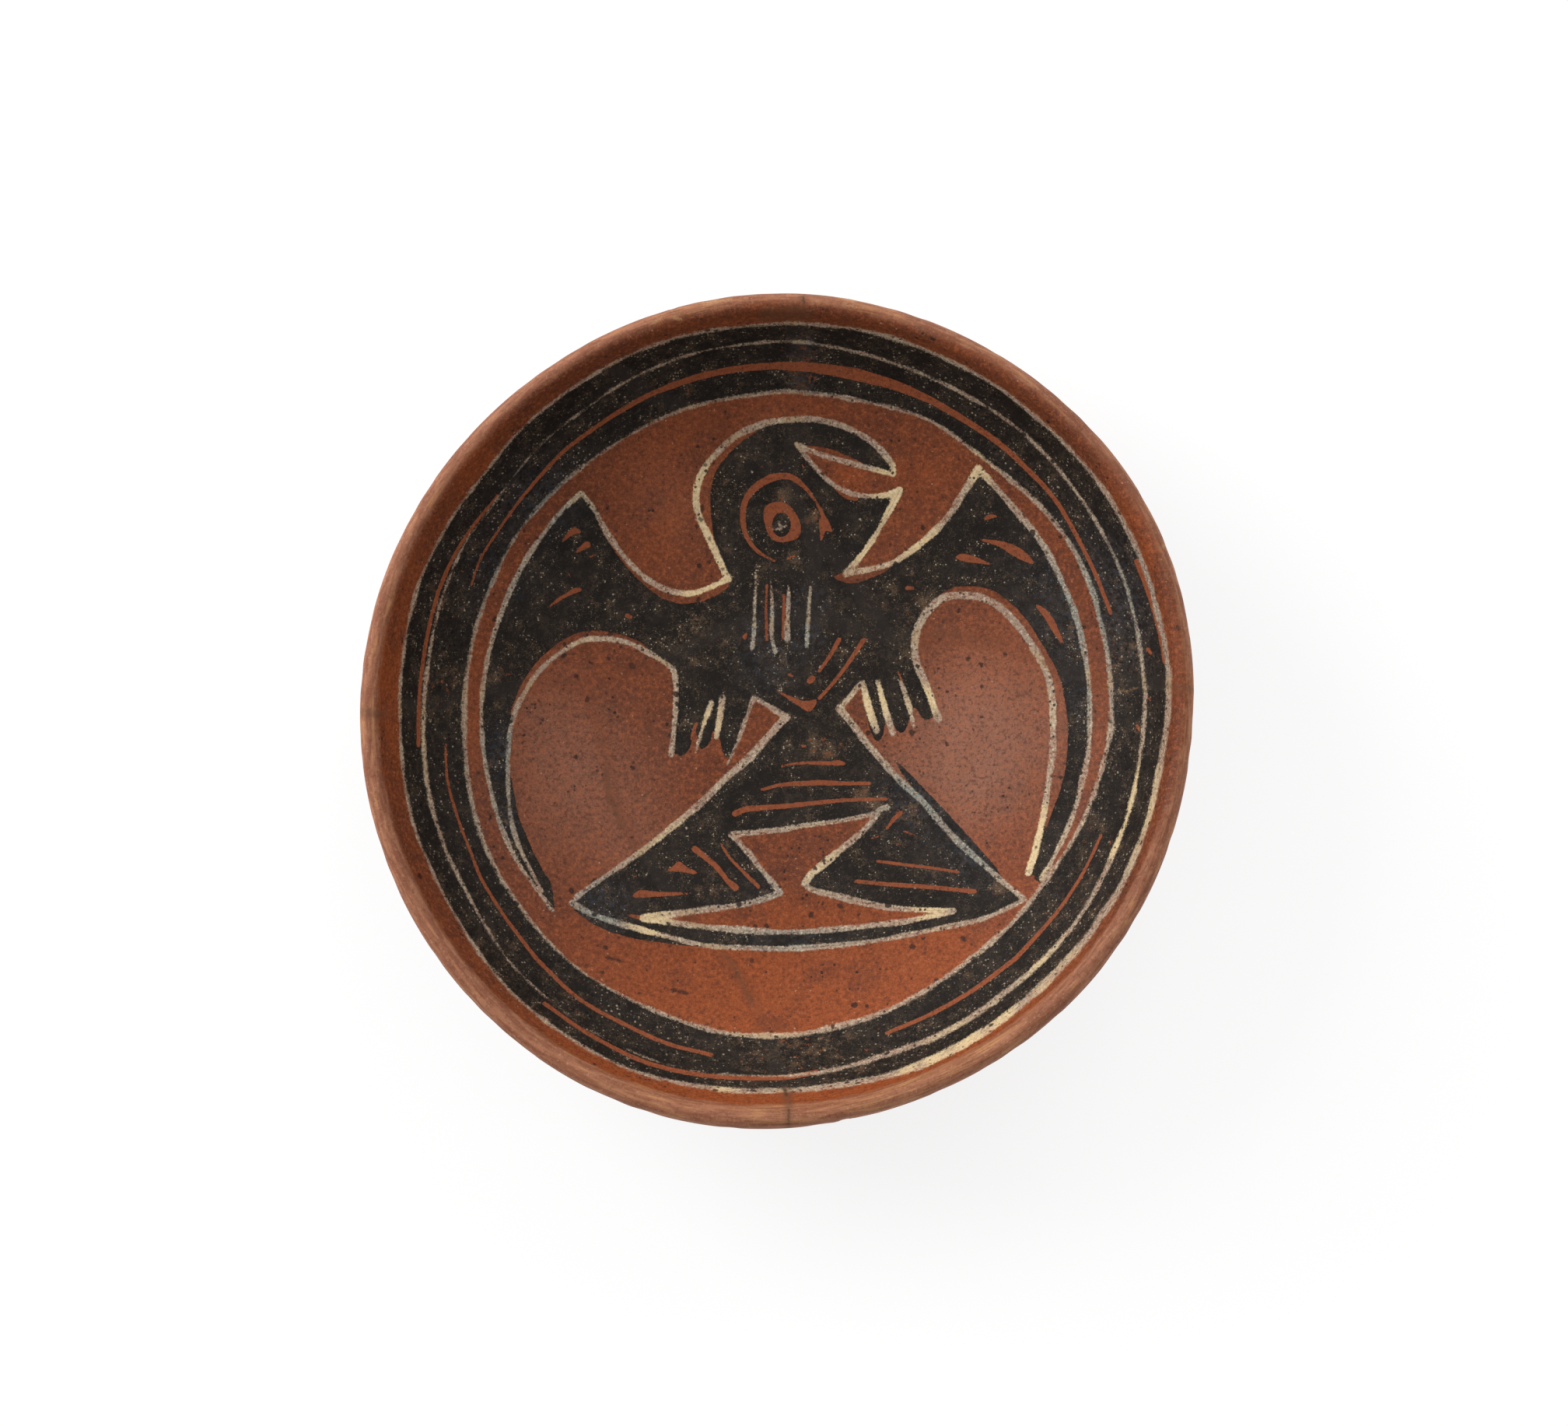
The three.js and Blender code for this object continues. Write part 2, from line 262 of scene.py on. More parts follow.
# The red hollow between the feet
CROTCH = [(941, 1073), (1000, 1067), (1030, 1062), (1067, 1057), (1097, 1052), (1131, 1044)]
RIGHT_KNEE = [(1131, 1044), (1110, 1068), (1080, 1093), (1060, 1110), (1042, 1125), (1035, 1136)]
RIGHT_FOOT = [(1035, 1136), (1042, 1143), (1079, 1153), (1139, 1166), (1187, 1170), (1227, 1171)]
SOLE = [
    (1227, 1171), (1204, 1176), (1160, 1185), (1107, 1191), (1021, 1198), (946, 1195),
    (880, 1188), (827, 1180),
]
LEFT_FOOT = [(827, 1180), (867, 1175), (904, 1170), (963, 1161), (1004, 1148)]
LEFT_SHIN = [(1004, 1148), (984, 1124), (966, 1101), (953, 1086), (941, 1073)]

# Pale lines: (width at the start, width at the end, points)
OUTLINES = [
    (7, 9, LEFT_WING_TOP), (10, 8, HEAD), (8, 7, MOUTH_TOP), (7, 8, MOUTH_LOW),
    (9, 8, THROAT), (8, 10, RIGHT_WING_TOP), (9, 7, RIGHT_WING_OUTER), (11, 9, RIGHT_ARMPIT),
    (7, 8, RIGHT_PALM), (10, 8, RIGHT_LEG_OUTER), (7, 8, HEM), (7, 11, LEFT_LEG_OUTER),
    (9, 8, LEFT_PALM), (7, 4, LEFT_THUMB), (8, 6, LEFT_ARMPIT), (6, 7, LEFT_WING_OUTER),
    (9, 6, CROTCH), (7, 11, RIGHT_KNEE), (9, 8, RIGHT_FOOT), (8, 9, SOLE),
    (10, 8, LEFT_FOOT), (8, 8, LEFT_SHIN),
]
PALE_STROKES = [
    (3, 7, [(972, 737), (971, 760), (970, 790), (969, 816), (967, 833)]),
    (4, 7, [(991, 747), (993, 787), (992, 818), (997, 838)]),
    (4, 9, [(1014, 752), (1013, 787), (1012, 822)]),
    (5, 6, [(1042, 755), (1039, 793), (1037, 830)]),
    (8, 5, [(915, 903), (905, 930), (895, 965)]),
    (9, 7, [(929, 897), (926, 920), (921, 947)]),
    (7, 11, [(1109, 877), (1115, 903), (1122, 925), (1127, 939)]),
    (7, 10, [(1129, 876), (1135, 900), (1143, 928), (1148, 942)]),
    (7, 7, [(1158, 876), (1167, 902), (1175, 934)]),
    (5, 9, [(1128, 1041), (1140, 1038)]),
    (5, 4, [(997, 681), (1011, 676)]), (4, 3, [(1001, 670), (1006, 686)]),
]

# Dark edges that run past the pale lines
DARK_BORDERS = [
    [(734, 1160), (747, 1177), (773, 1193), (813, 1206), (853, 1212), (904, 1217), (904, 1206),
     (797, 1184)],
    [(1150, 978), (1167, 992), (1193, 1018), (1227, 1055), (1250, 1080), (1284, 1120),
     (1288, 1134), (1187, 1031)],
    [(655, 990), (661, 1020), (668, 1052), (686, 1096), (700, 1122), (709, 1136), (712, 1172),
     (700, 1160), (660, 1060)],
    [(1336, 1128), (1345, 1112), (1349, 1121), (1341, 1134), (1326, 1127)],
]

# Red left between a pale line and the dark paint
RED_BORDERS = [
    [(936, 744), (929, 729), (922, 707), (917, 687), (914, 660), (914, 633), (920, 607), (935, 586),
     (952, 569), (975, 553), (950, 560), (918, 586), (896, 630), (899, 664), (913, 694)],
    [(834, 839), (826, 827), (797, 815), (776, 811), (745, 813), (714, 829), (686, 856), (667, 887),
     (656, 918), (664, 914), (673, 894), (719, 840), (776, 822)],
    [(762, 655), (778, 689), (800, 722), (822, 746), (850, 768), (877, 776), (907, 771), (934, 757),
     (938, 744), (897, 757), (838, 747), (785, 689)],
    [(1028, 572), (1050, 574), (1072, 578), (1094, 588), (1112, 597), (1107, 600), (1054, 585)],
    [(1070, 622), (1077, 633), (1089, 642), (1103, 643), (1100, 635)],
    [(1071, 742), (1087, 749), (1102, 749), (1134, 737), (1148, 727), (1143, 723), (1087, 736)],
    [(1190, 782), (1213, 761), (1232, 754), (1262, 755), (1284, 763), (1317, 793), (1341, 830),
     (1361, 867), (1369, 900), (1373, 935), (1371, 980), (1364, 1012), (1352, 1046), (1343, 1068),
     (1348, 1010), (1353, 930), (1343, 861), (1293, 787), (1229, 765)],
]
RED_SHAPES = [
    [(996, 885), (1016, 895), (1035, 901), (1050, 899), (1047, 909), (1040, 915), (1026, 907),
     (1008, 895)],
    [(718, 700), (730, 684), (738, 677), (741, 679), (748, 684), (736, 688), (726, 695)],
    [(738, 712), (747, 701), (756, 695), (760, 702), (750, 707)],
    [(703, 783), (713, 772), (725, 764), (740, 755), (749, 758), (736, 764), (722, 771)],
    [(1265, 669), (1268, 663), (1275, 661), (1284, 664), (1276, 666)],
    [(1258, 693), (1284, 695), (1305, 701), (1321, 712), (1330, 725), (1318, 722), (1300, 713),
     (1285, 703)],
    [(1228, 717), (1234, 712), (1246, 713), (1262, 719), (1277, 727), (1257, 724), (1240, 722)],
    [(1331, 777), (1344, 783), (1355, 797), (1362, 812), (1368, 829), (1357, 818), (1346, 799)],
    [(858, 1119), (867, 1112), (873, 1107), (883, 1114), (896, 1121), (893, 1124), (876, 1121)],
    [(813, 1152), (822, 1144), (845, 1146), (890, 1148), (868, 1151), (840, 1153), (820, 1154)],
    [(804, 1176), (815, 1176), (829, 1178), (826, 1183)],
    [(1053, 668), (1062, 664), (1070, 684), (1062, 682), (1056, 697), (1054, 684)],
    [(1044, 868), (1049, 871), (1045, 878), (1039, 879), (1037, 874)],
    [(1080, 977), (1089, 983), (1072, 984), (1064, 980)],
    [(954, 820), (960, 812), (960, 822)],
]
RED_STROKES = [
    (6, 4, [(1079, 822), (1067, 843), (1053, 863)]),
    (6, 4, [(1111, 822), (1090, 853), (1072, 877), (1053, 898)]),
    (3, 5, [(1005, 985), (1027, 981), (1067, 981)]), (4, 7, [(980, 1015), (1003, 1009), (1053, 1006)]),
    (7, 4, [(1053, 1006), (1085, 1007), (1118, 1007)]),
    (8, 6, [(945, 1046), (960, 1040), (1013, 1036)]),
    (6, 4, [(1013, 1036), (1080, 1029), (1140, 1027)]), (8, 6, [(893, 1091), (920, 1113), (935, 1132)]),
    (7, 9, [(935, 1132), (946, 1141)]), (3, 5, [(927, 1085), (937, 1101), (957, 1122), (975, 1140)]),
    (4, 4, [(1128, 1107), (1167, 1112), (1200, 1116), (1232, 1121)]),
    (5, 6, [(1101, 1133), (1147, 1137), (1193, 1140), (1253, 1146)]),
    (4, 6, [(1140, 1065), (1149, 1053), (1158, 1045)]), (3, 2, [(1163, 1069), (1180, 1075)]),
    (2, 2, [(1150, 1085), (1162, 1087)]), (2, 2, [(1120, 1078), (1130, 1075)]),
    (3, 4, [(986, 752), (985, 785), (986, 823)]), (4, 4, [(1008, 765), (1007, 820)]),
    (2, 3, [(1155, 863), (1160, 876)]), (5, 4, [(895, 930), (889, 950)]),
    (7, 10, [(1027, 619), (1017, 613), (1004, 612), (990, 615)]),
    (10, 7, [(990, 615), (974, 624), (962, 637), (956, 651), (955, 668)]),
    (7, 3, [(955, 668), (958, 685), (967, 701), (980, 713), (996, 721)]),
    (7, 3, [(1027, 619), (1039, 631), (1048, 644)]), (3, 6, [(1048, 644), (1054, 653), (1060, 668)]),
    (3, 2, [(1012, 718), (1024, 714)]), (2, 2, [(730, 732), (733, 742)]),
    (3, 2, [(758, 716), (766, 713)]), (6, 5, [(806, 791), (811, 793)]),
    (5, 4, [(1166, 756), (1174, 756)]), (4, 3, [(1031, 959), (1036, 959)]),
    (4, 3, [(1014, 867), (1019, 869)]), (2, 2, [(1032, 598), (1034, 602)]),
    (5, 4, [(1476, 835), (1480, 840)]), (3, 3, [(1472, 894), (1479, 900)]),
    (4, 3, [(1462, 933), (1465, 939)]),
]
IRIS = [
    (982, 656), (990, 647), (1003, 645), (1015, 650), (1025, 663), (1030, 679), (1026, 691),
    (1013, 696), (1001, 697), (991, 692), (984, 677),
]
PUPIL_CENTRE, PUPIL_RADII = (1004.5, 674.5), (12, 15.5)

# Thin red lines in the dark band
BAND_STROKES = [
    (3, 4, [(606, 752), (616, 722), (630, 698), (648, 671), (669, 642)]),
    (4, 7, [(669, 642), (697, 609), (726, 579), (762, 552), (798, 528), (834, 508), (860, 497)]),
    (8, 9, [(860, 497), (900, 484), (950, 474), (1000, 470)]),
    (10, 16, [(1000, 470), (1050, 473), (1100, 481)]),
    (16, 9, [(1100, 481), (1150, 495), (1200, 516)]),
    (9, 6, [(1200, 516), (1250, 546), (1292, 576), (1339, 621)]),
    (6, 5, [(1339, 621), (1362, 650), (1390, 700), (1412, 746), (1428, 788)]),
    (3, 5, [(573, 956), (575, 1000), (588, 1050), (607, 1100), (619, 1130), (650, 1180), (690, 1233)]),
    (5, 5, [(690, 1233), (746, 1285), (812, 1321), (860, 1342), (915, 1356)]),
    (3, 6, [(1416, 1073), (1393, 1121), (1357, 1175), (1307, 1231)]),
    (6, 5, [(1307, 1231), (1252, 1272), (1196, 1304), (1140, 1328)]),
    (4, 5, [(640, 637), (605, 681), (580, 722), (563, 762)]),
    (5, 5, [(563, 762), (553, 800), (544, 850), (539, 900), (538, 958)]),
    (5, 6, [(700, 1290), (760, 1331), (832, 1366), (904, 1382), (960, 1386)]),
    (6, 6, [(960, 1386), (1010, 1385), (1050, 1378)]),
    (8, 3, [(1462, 722), (1478, 765), (1490, 812), (1497, 852)]),
]

# Places: (across, down, reach in px, strength)
WORN = [
    (1005, 1358, 95, 0.7), (1090, 1345, 60, 0.5), (1425, 850, 60, 0.9), (1410, 1090, 60, 0.4),
    (575, 880, 45, 0.9), (645, 870, 40, 0.8), (985, 575, 45, 0.7), (905, 800, 70, 0.8),
    (1170, 790, 60, 0.8), (1060, 935, 60, 0.6), (1058, 967, 22, 1.4), (1110, 1018, 18, 1.3),
    (1176, 1040, 22, 1.4), (1281, 1141, 18, 1.2), (915, 1140, 25, 1.0), (870, 500, 60, 0.5),
    (1035, 430, 35, 0.7), (700, 1330, 90, 0.5), (640, 1220, 60, 0.4), (1046, 665, 16, 2.4),
    (1005, 636, 15, 2.2), (1032, 470, 30, 1.3), (1028, 500, 26, 1.0), (1012, 404, 40, 0.8),
    (1130, 1040, 22, 1.0), (720, 870, 40, 0.5), (1390, 1180, 60, 0.4), (590, 780, 50, 0.6),
]
# Where streaks of bare clay show on the lip
BARE = [
    (1010, 1425, 60, 0.8), (1160, 1395, 90, 1.1), (1270, 1330, 60, 0.9), (900, 392, 60, 0.6),
    (1480, 700, 60, 0.6), (1100, 392, 60, 0.6), (820, 1400, 90, 0.3),
    (1530, 860, 55, 0.6), (1528, 950, 55, 0.6),
]
# Painted sheen: pale pinkish patches that stand for the lamps' reflection in the hollows of the floor
PAINTED_SHEEN = [
    (745, 1010, 130, 1.0), (700, 920, 80, 0.5), (1265, 930, 130, 1.6), (1240, 1020, 90, 0.8),
    (835, 1100, 70, 0.6), (860, 640, 80, 0.35), (1000, 560, 60, 0.3), (1150, 1000, 60, 0.4),
]
WARM = [
    (1000, 1300, 230, 0.85), (760, 1230, 130, 0.2), (1250, 1230, 160, 0.8), (870, 600, 90, 0.5),
    (1092, 612, 30, 0.9), (1000, 524, 90, 0.7), (1190, 610, 60, 0.5), (1030, 1095, 60, -0.9),
    (1280, 850, 90, 0.5),
    (505, 880, 150, 0.8), (620, 600, 60, 0.8), (1180, 1400, 200, 0.8), (800, 1400, 200, 0.8),
    (930, 1290, 70, 0.8), (1465, 700, 60, 0.6), (840, 690, 60, 0.5),
]
# Bluish bloom in the black, and cream that has gone grey
COOL = [
    (648, 965, 45, 0.9), (775, 1168, 45, 1.0), (985, 850, 50, 0.6), (1010, 1190, 90, 0.5),
    (1395, 900, 45, 0.5), (645, 1050, 40, 0.6), (1040, 775, 26, 1.2), (1408, 780, 110, 0.9),
    (1040, 820, 26, 0.9), (974, 800, 20, 0.9), (994, 790, 12, 0.8), (1180, 1030, 60, 0.9),
    (1250, 1100, 50, 0.9), (700, 640, 60, 0.8), (640, 740, 60, 0.5), (1032, 448, 22, 1.0),
    (1030, 490, 22, 1.0),
]
# Cream that is thick and has kept its warm yellow
YELLOW = [
    (905, 620, 45, 1.0), (905, 690, 35, 1.0), (935, 742, 40, 0.9), (900, 760, 45, 0.8),
    (1145, 640, 34, 1.1), (1140, 612, 30, 0.9), (1110, 700, 45, 0.9), (1185, 700, 50, 0.8),
    (1255, 605, 35, 0.8), (1000, 541, 50, 0.4), (745, 640, 30, 0.4), (745, 815, 60, 0.3),
    (550, 960, 60, 0.4), (1240, 1330, 90, 0.35), (1340, 1240, 70, 0.5), (1500, 1010, 60, 0.3),
    (1165, 1372, 20, 0.6), (1205, 1362, 22, 0.9), (1245, 1338, 22, 0.9), (1290, 1309, 24, 0.8),
    (930, 1402, 22, 0.6), (1330, 1060, 50, 0.9), (1322, 1110, 30, 1.0), (1060, 1110, 60, 0.6),
    (1000, 1330, 90, 0.4), (850, 1075, 60, 0.5), (1192, 900, 30, 1.0), (1122, 905, 40, 0.9),
    (1195, 1172, 30, 0.9), (835, 1182, 40, 0.9), (915, 925, 40, 0.6), (1345, 900, 40, 0.5),
    (1463, 1000, 30, 0.7), (1453, 1045, 34, 1.0), (1438, 1090, 30, 0.9),
]
# Dark stains and cracks: (width at the start, width at the end, points)
STAINS = [
    (3, 3, [(1033, 382), (1034, 391)]), (3, 2, [(1014, 1426), (1014, 1446)]),
    (5, 4, [(1009, 1401), (1011, 1408)]), (6, 6, [(1244, 847), (1246, 847)]),
    (4, 4, [(1265, 845), (1266, 845)]), (5, 5, [(1291, 840), (1293, 842)]),
    (5, 5, [(903, 651), (903, 657)]), (6, 6, [(900, 667), (902, 668)]),
    (7, 7, [(1238, 1206), (1240, 1208)]), (6, 6, [(1078, 1164), (1082, 1166)]),
    (5, 5, [(782, 846), (783, 847)]), (5, 5, [(895, 676), (896, 677)]),
    (5, 5, [(912, 692), (913, 694)]), (5, 5, [(1442, 746), (1444, 748)]),
    (5, 5, [(1426, 926), (1428, 928)]), (4, 4, [(1386, 727), (1387, 729)]),
    (4, 4, [(911, 723), (912, 724)]), (5, 5, [(929, 731), (930, 732)]),
    (5, 5, [(865, 1272), (883, 1277)]), (3, 3, [(850, 1268), (858, 1271)]),
    (4, 4, [(780, 1231), (800, 1236)]), (4, 4, [(935, 737), (936, 738)]),
    (3, 3, [(894, 683), (895, 684)]), (4, 4, [(757, 850), (761, 853)]),
    (5, 5, [(965, 1234), (968, 1236)]), (5, 5, [(906, 597), (908, 598)]),
]
# Pale scuffs on the lip and the wall, and a hairline in the band
SCUFFS = [
    (5, 3, [(1075, 381), (1100, 388)]), (4, 3, [(1084, 391), (1108, 397)]),
    (7, 4, [(868, 408), (876, 412)]), (6, 5, [(1496, 703), (1503, 698)]),
    (4, 4, [(905, 391), (940, 384)]), (3, 5, [(835, 418), (850, 410)]),
    (2, 3, [(1436, 888), (1448, 888), (1462, 884)]),
]
# Brown smears: on the lip and the wall where a join was made good, and thinner ones in the red
SMEARS = [
    (13, 10, [(1012, 1402), (1014, 1425), (1014, 1446)]), (16, 10, [(467, 916), (492, 918)]),
    (20, 14, [(985, 404), (1040, 402)]), (9, 6, [(1030, 383), (1034, 396)]),
    (9, 9, [(1505, 882), (1536, 886)]), (7, 9, [(778, 990), (786, 1030), (800, 1060)]),
    (5, 8, [(930, 1226), (948, 1250), (966, 1290)]),
    (2, 2, [(1184, 813), (1215, 817), (1250, 818), (1290, 826)]),
]


STROKE_FIELDS = {"stain": STAINS, "scuff": SCUFFS, "smear": SMEARS}
SPOT_FIELDS = {"worn": WORN, "bare": BARE, "painted_sheen": PAINTED_SHEEN, "warm": WARM, "cool": COOL, "yellow": YELLOW}
# How far a field is worked out from an area and from a line, and how fast a spot falls off
AREA_REACH, LINE_REACH = 24.0, 16.0
SPOT_FALL = 1.6
# The length of a curve's straight pieces, in px
PACE, LONG_PACE = 4.0, 8.0
# How many pieces of a path are tested against one box
STRIDE = 10


def smooth(points, closed=False, pace=PACE):
    """A curve through the points, as short straight pieces."""
    p = np.array(points, float)
    if closed:
        p = np.vstack((p[-1], p, p[0], p[1]))
    else:
        p = np.vstack((2 * p[0] - p[1], p, 2 * p[-1] - p[-2]))
    curve = []
    for before, start, end, after in zip(p[:-3], p[1:-2], p[2:-1], p[3:]):
        steps = max(int(np.linalg.norm(end - start) / pace), 2)
        t = np.linspace(0, 1, steps, endpoint=False)[:, None]
        bend_in = (end - before) / 2 * tightness(before, start, end)
        bend_out = (after - start) / 2 * tightness(after, end, start)
        curve.append(
            (2 * t**3 - 3 * t**2 + 1) * start
            + (t**3 - 2 * t**2 + t) * bend_in
            + (3 * t**2 - 2 * t**3) * end
            + (t**3 - t**2) * bend_out
        )
    if not closed:
        curve.append(p[-2:-1])
    return np.vstack(curve)


def tightness(far, near, end):
    """Shortens a curve's handle where the neighbouring span is much longer than this one."""
    return min(1.0, 2 * np.linalg.norm(end - near) / max(np.linalg.norm(end - far), 1e-6))


def joined(*stretches):
    return np.vstack([smooth(stretch) for stretch in stretches])


FIGURE = joined(
    LEFT_WING_TOP, HEAD, MOUTH_TOP, MOUTH_LOW, THROAT, RIGHT_WING_TOP, RIGHT_WING_OUTER,
    RIGHT_ARMPIT[::-1], RIGHT_FINGERS, RIGHT_PALM[::-1], RIGHT_LEG_OUTER, HEM, LEFT_LEG_OUTER,
    LEFT_PALM, LEFT_THUMB[:3], LEFT_FINGERS, LEFT_ARMPIT, LEFT_WING_OUTER,
)
HOLLOW = joined(CROTCH, RIGHT_KNEE, RIGHT_FOOT, SOLE, LEFT_FOOT, LEFT_SHIN)


def nearest(points, path, reach):
    """How far each point is from the path, up to reach, and how far along the path that is."""
    distance = np.full(len(points), float(reach))
    along = np.zeros(len(points))
    lengths = np.linalg.norm(np.diff(path, axis=0), axis=1)
    gone = np.concatenate(((0.0,), np.cumsum(lengths)))
    for first in range(0, len(path) - 1, STRIDE):
        part = path[first : first + STRIDE + 1]
        inside_box = np.all((points > part.min(0) - reach) & (points < part.max(0) + reach), axis=1)
        chosen = np.flatnonzero(inside_box)
        if not len(chosen):
            continue
        spot = points[chosen]
        for k in range(len(part) - 1):
            leg = part[k + 1] - part[k]
            share = np.clip((spot - part[k]) @ leg / max(leg @ leg, 1e-9), 0, 1)
            away = np.linalg.norm(spot - part[k] - share[:, None] * leg, axis=1)
            closer = away < distance[chosen]
            distance[chosen[closer]] = away[closer]
            along[chosen[closer]] = gone[first + k] + share[closer] * lengths[first + k]
    return distance, along / max(gone[-1], 1e-9)


def enclosed(points, outline):
    """True for the points inside a closed outline."""
    result = np.zeros(len(points), bool)
    low, high = outline.min(0), outline.max(0)
    chosen = np.flatnonzero(np.all((points >= low) & (points <= high), axis=1))
    x, y = points[chosen].T
    odd = np.zeros(len(chosen), bool)
    for (ax, ay), (bx, by) in zip(outline, np.roll(outline, -1, axis=0)):
        if ay == by:
            continue
        crosses = (ay > y) != (by > y)
        odd ^= crosses & (x < (bx - ax) * (y - ay) / (by - ay) + ax)
    result[chosen] = odd
    return result


def area_field(points, outline):
    """Signed distance to a closed outline, in px: positive inside."""
    distance, _ = nearest(points, np.vstack((outline, outline[:1])), AREA_REACH)
    return np.where(enclosed(points, outline), distance, -distance)


def line_field(points, start_width, end_width, path):
    """Signed distance to the edge of a brushed line, in px: positive inside."""
    distance, along = nearest(points, path, LINE_REACH)
    return (start_width + (end_width - start_width) * along) / 2 - distance


def highest(fields):
    return np.max(np.stack(fields), axis=0)


def shapes_field(points, outlines):
    return highest([area_field(points, smooth(outline, closed=True)) for outline in outlines])


def strokes_field(points, strokes, pace=PACE):
    return highest([
        line_field(points, first, last, smooth(path, pace=pace)) for first, last, path in strokes
    ])


def ring_field(points, ring, widths):
    """Signed distance to the edge of a ring whose width changes round the plate, in px."""
    path = smooth(ring, closed=True, pace=LONG_PACE)
    distance, _ = nearest(points, np.vstack((path, path[:1])), LINE_REACH)
    away = points - RING_CENTRE
    bearing = np.degrees(np.arctan2(-away[:, 1], away[:, 0])) % 360
    angles, sizes = zip(*widths)
    return np.interp(bearing, angles, sizes, period=360) / 2 - distance


def oval_field(points, centre, radii):
    """Close to the signed distance to an upright oval, in px: positive inside."""
    reach = np.linalg.norm((points - centre) / radii, axis=1)
    return (1 - reach) * min(radii)


def spots_field(points, spots):
    """Soft round patches that add up: 1 in the middle of a patch of strength 1."""
    total = np.zeros(len(points))
    for across, down, reach, strength in spots:
        away = ((points[:, 0] - across) ** 2 + (points[:, 1] - down) ** 2) / reach**2
        total += strength * np.exp(-SPOT_FALL * away)
    return total


def band_field(points):
    """The dark band inside the rim."""
    outer = area_field(points, smooth(RING_OUTER, closed=True, pace=LONG_PACE))
    inner = area_field(points, smooth(RING_INNER, closed=True, pace=LONG_PACE))
    return np.minimum(outer, -inner)


def black_field(points, band):
    figure = np.minimum(area_field(points, FIGURE), -area_field(points, HOLLOW))
    dark = highest([band, figure, shapes_field(points, DARK_BORDERS)])
    return np.minimum(dark, -shapes_field(points, RED_BORDERS))


def cream_field(points):
    return highest([strokes_field(points, OUTLINES), strokes_field(points, PALE_STROKES)])


def rings_field(points):
    return highest([ring_field(points, ring, widths) for ring, widths in RINGS_AND_WIDTHS])


def red_field(points):
    pupil = oval_field(points, PUPIL_CENTRE, PUPIL_RADII)
    iris = np.minimum(area_field(points, smooth(IRIS, closed=True)), -pupil)
    strokes = [strokes_field(points, RED_STROKES), strokes_field(points, BAND_STROKES, LONG_PACE)]
    return highest([iris, shapes_field(points, RED_SHAPES), *strokes])


def bezier(start, first, second, end, count=400):
    t = np.linspace(0, 1, count)[:, None]
    a, b, c, d = (np.array(point) for point in (start, first, second, end))
    return (1 - t) ** 3 * a + 3 * (1 - t) ** 2 * t * b + 3 * (1 - t) * t**2 * c + t**3 * d


INSIDE = bezier((0.0, FLOOR_THICKNESS), INSIDE_HANDLES[1], INSIDE_HANDLES[0], LIP_INNER)
LIP = bezier(LIP_INNER, LIP_HANDLES[0], LIP_HANDLES[1], LIP_OUTER)
OUTSIDE = bezier((BASE_RADIUS, 0.0), OUTSIDE_HANDLES[0], OUTSIDE_HANDLES[1], LIP_OUTER)
TOP_SECTION = np.vstack((INSIDE, LIP[1:]))
BASE_SECTION = np.vstack(((0.0, 0.0), OUTSIDE))


def travelled(section):
    steps = np.linalg.norm(np.diff(section, axis=0), axis=1)
    return np.concatenate(((0.0,), np.cumsum(steps)))


TOP_TRAVEL = travelled(TOP_SECTION)
BASE_TRAVEL = travelled(BASE_SECTION)
REACH = TOP_TRAVEL[-1]
LIP_START = travelled(INSIDE)[-1]
# (bearing in degrees, mm up the lip) where the rubbed zone starts
RUBBED_FROM = (
    (0, 5.0), (45, 4.0), (90, 3.9), (135, 2.8), (180, 1.2), (225, 0.5), (270, -2.2), (315, -1.0),
    (340, 2.6),
)
RUBBED_OUTSIDE = 5.0


def wave_height(waves, angle):
    heights = [height * np.cos(bumps * (angle - math.radians(start))) for bumps, height, start in waves]
    return sum(heights)


def hand_built(x, y, z):
    """Bends the true round form as the potter's hands left it."""
    radius = np.hypot(x, y)
    angle = np.arctan2(y, x)
    stretch = 1 + (radius / RIM_RADIUS) ** 3 * wave_height(OUTLINE_WAVES, angle) / RIM_RADIUS
    rise = (z / PLATE_HEIGHT) ** 2 * wave_height(CREST_WAVES, angle)
    return np.stack((x * stretch, y * stretch, z + rise), axis=1)


def outline_middle():
    angle = np.radians(np.arange(0, 360, 0.5))
    widest = TOP_SECTION[:, 0].max()
    rim = hand_built(widest * np.cos(angle), widest * np.sin(angle), np.zeros_like(angle))
    return (rim.min(0) + rim.max(0)) / 2 * (1, 1, 0)


MIDDLE = outline_middle()


def swell(points, reach, height, seed):
    """Soft uneven rises and falls, about as long as reach."""
    rng = np.random.default_rng(seed)
    total = np.zeros(len(points))
    for _ in range(SWELL_WAVES):
        direction = rng.normal(size=3)
        direction /= np.linalg.norm(direction)
        length = reach * rng.uniform(*SWELL_SPREAD)
        total += np.sin(points @ direction * 2 * math.pi / length + rng.uniform(0, 2 * math.pi))
    return total * height / SWELL_LEVEL


def swells(points, kinds):
    """Swells of several kinds, added up."""
    return sum(swell(points, *kind) for kind in kinds)


def scooped(points):
    """Pushes points out of the balls that stand for the chips in the rim."""
    result = points.copy()
    for bearing, bite, scoop in RIM_CHIPS:
        angle = math.radians(bearing)
        away = RIM_RADIUS + wave_height(OUTLINE_WAVES, angle) - bite + scoop
        centre = np.array((away * math.cos(angle), away * math.sin(angle), CHIP_HEIGHT))
        offset = result - centre
        distance = np.linalg.norm(offset, axis=1)
        inside = distance < scoop
        result[inside] = centre + offset[inside] / distance[inside, None] * scoop
    return result


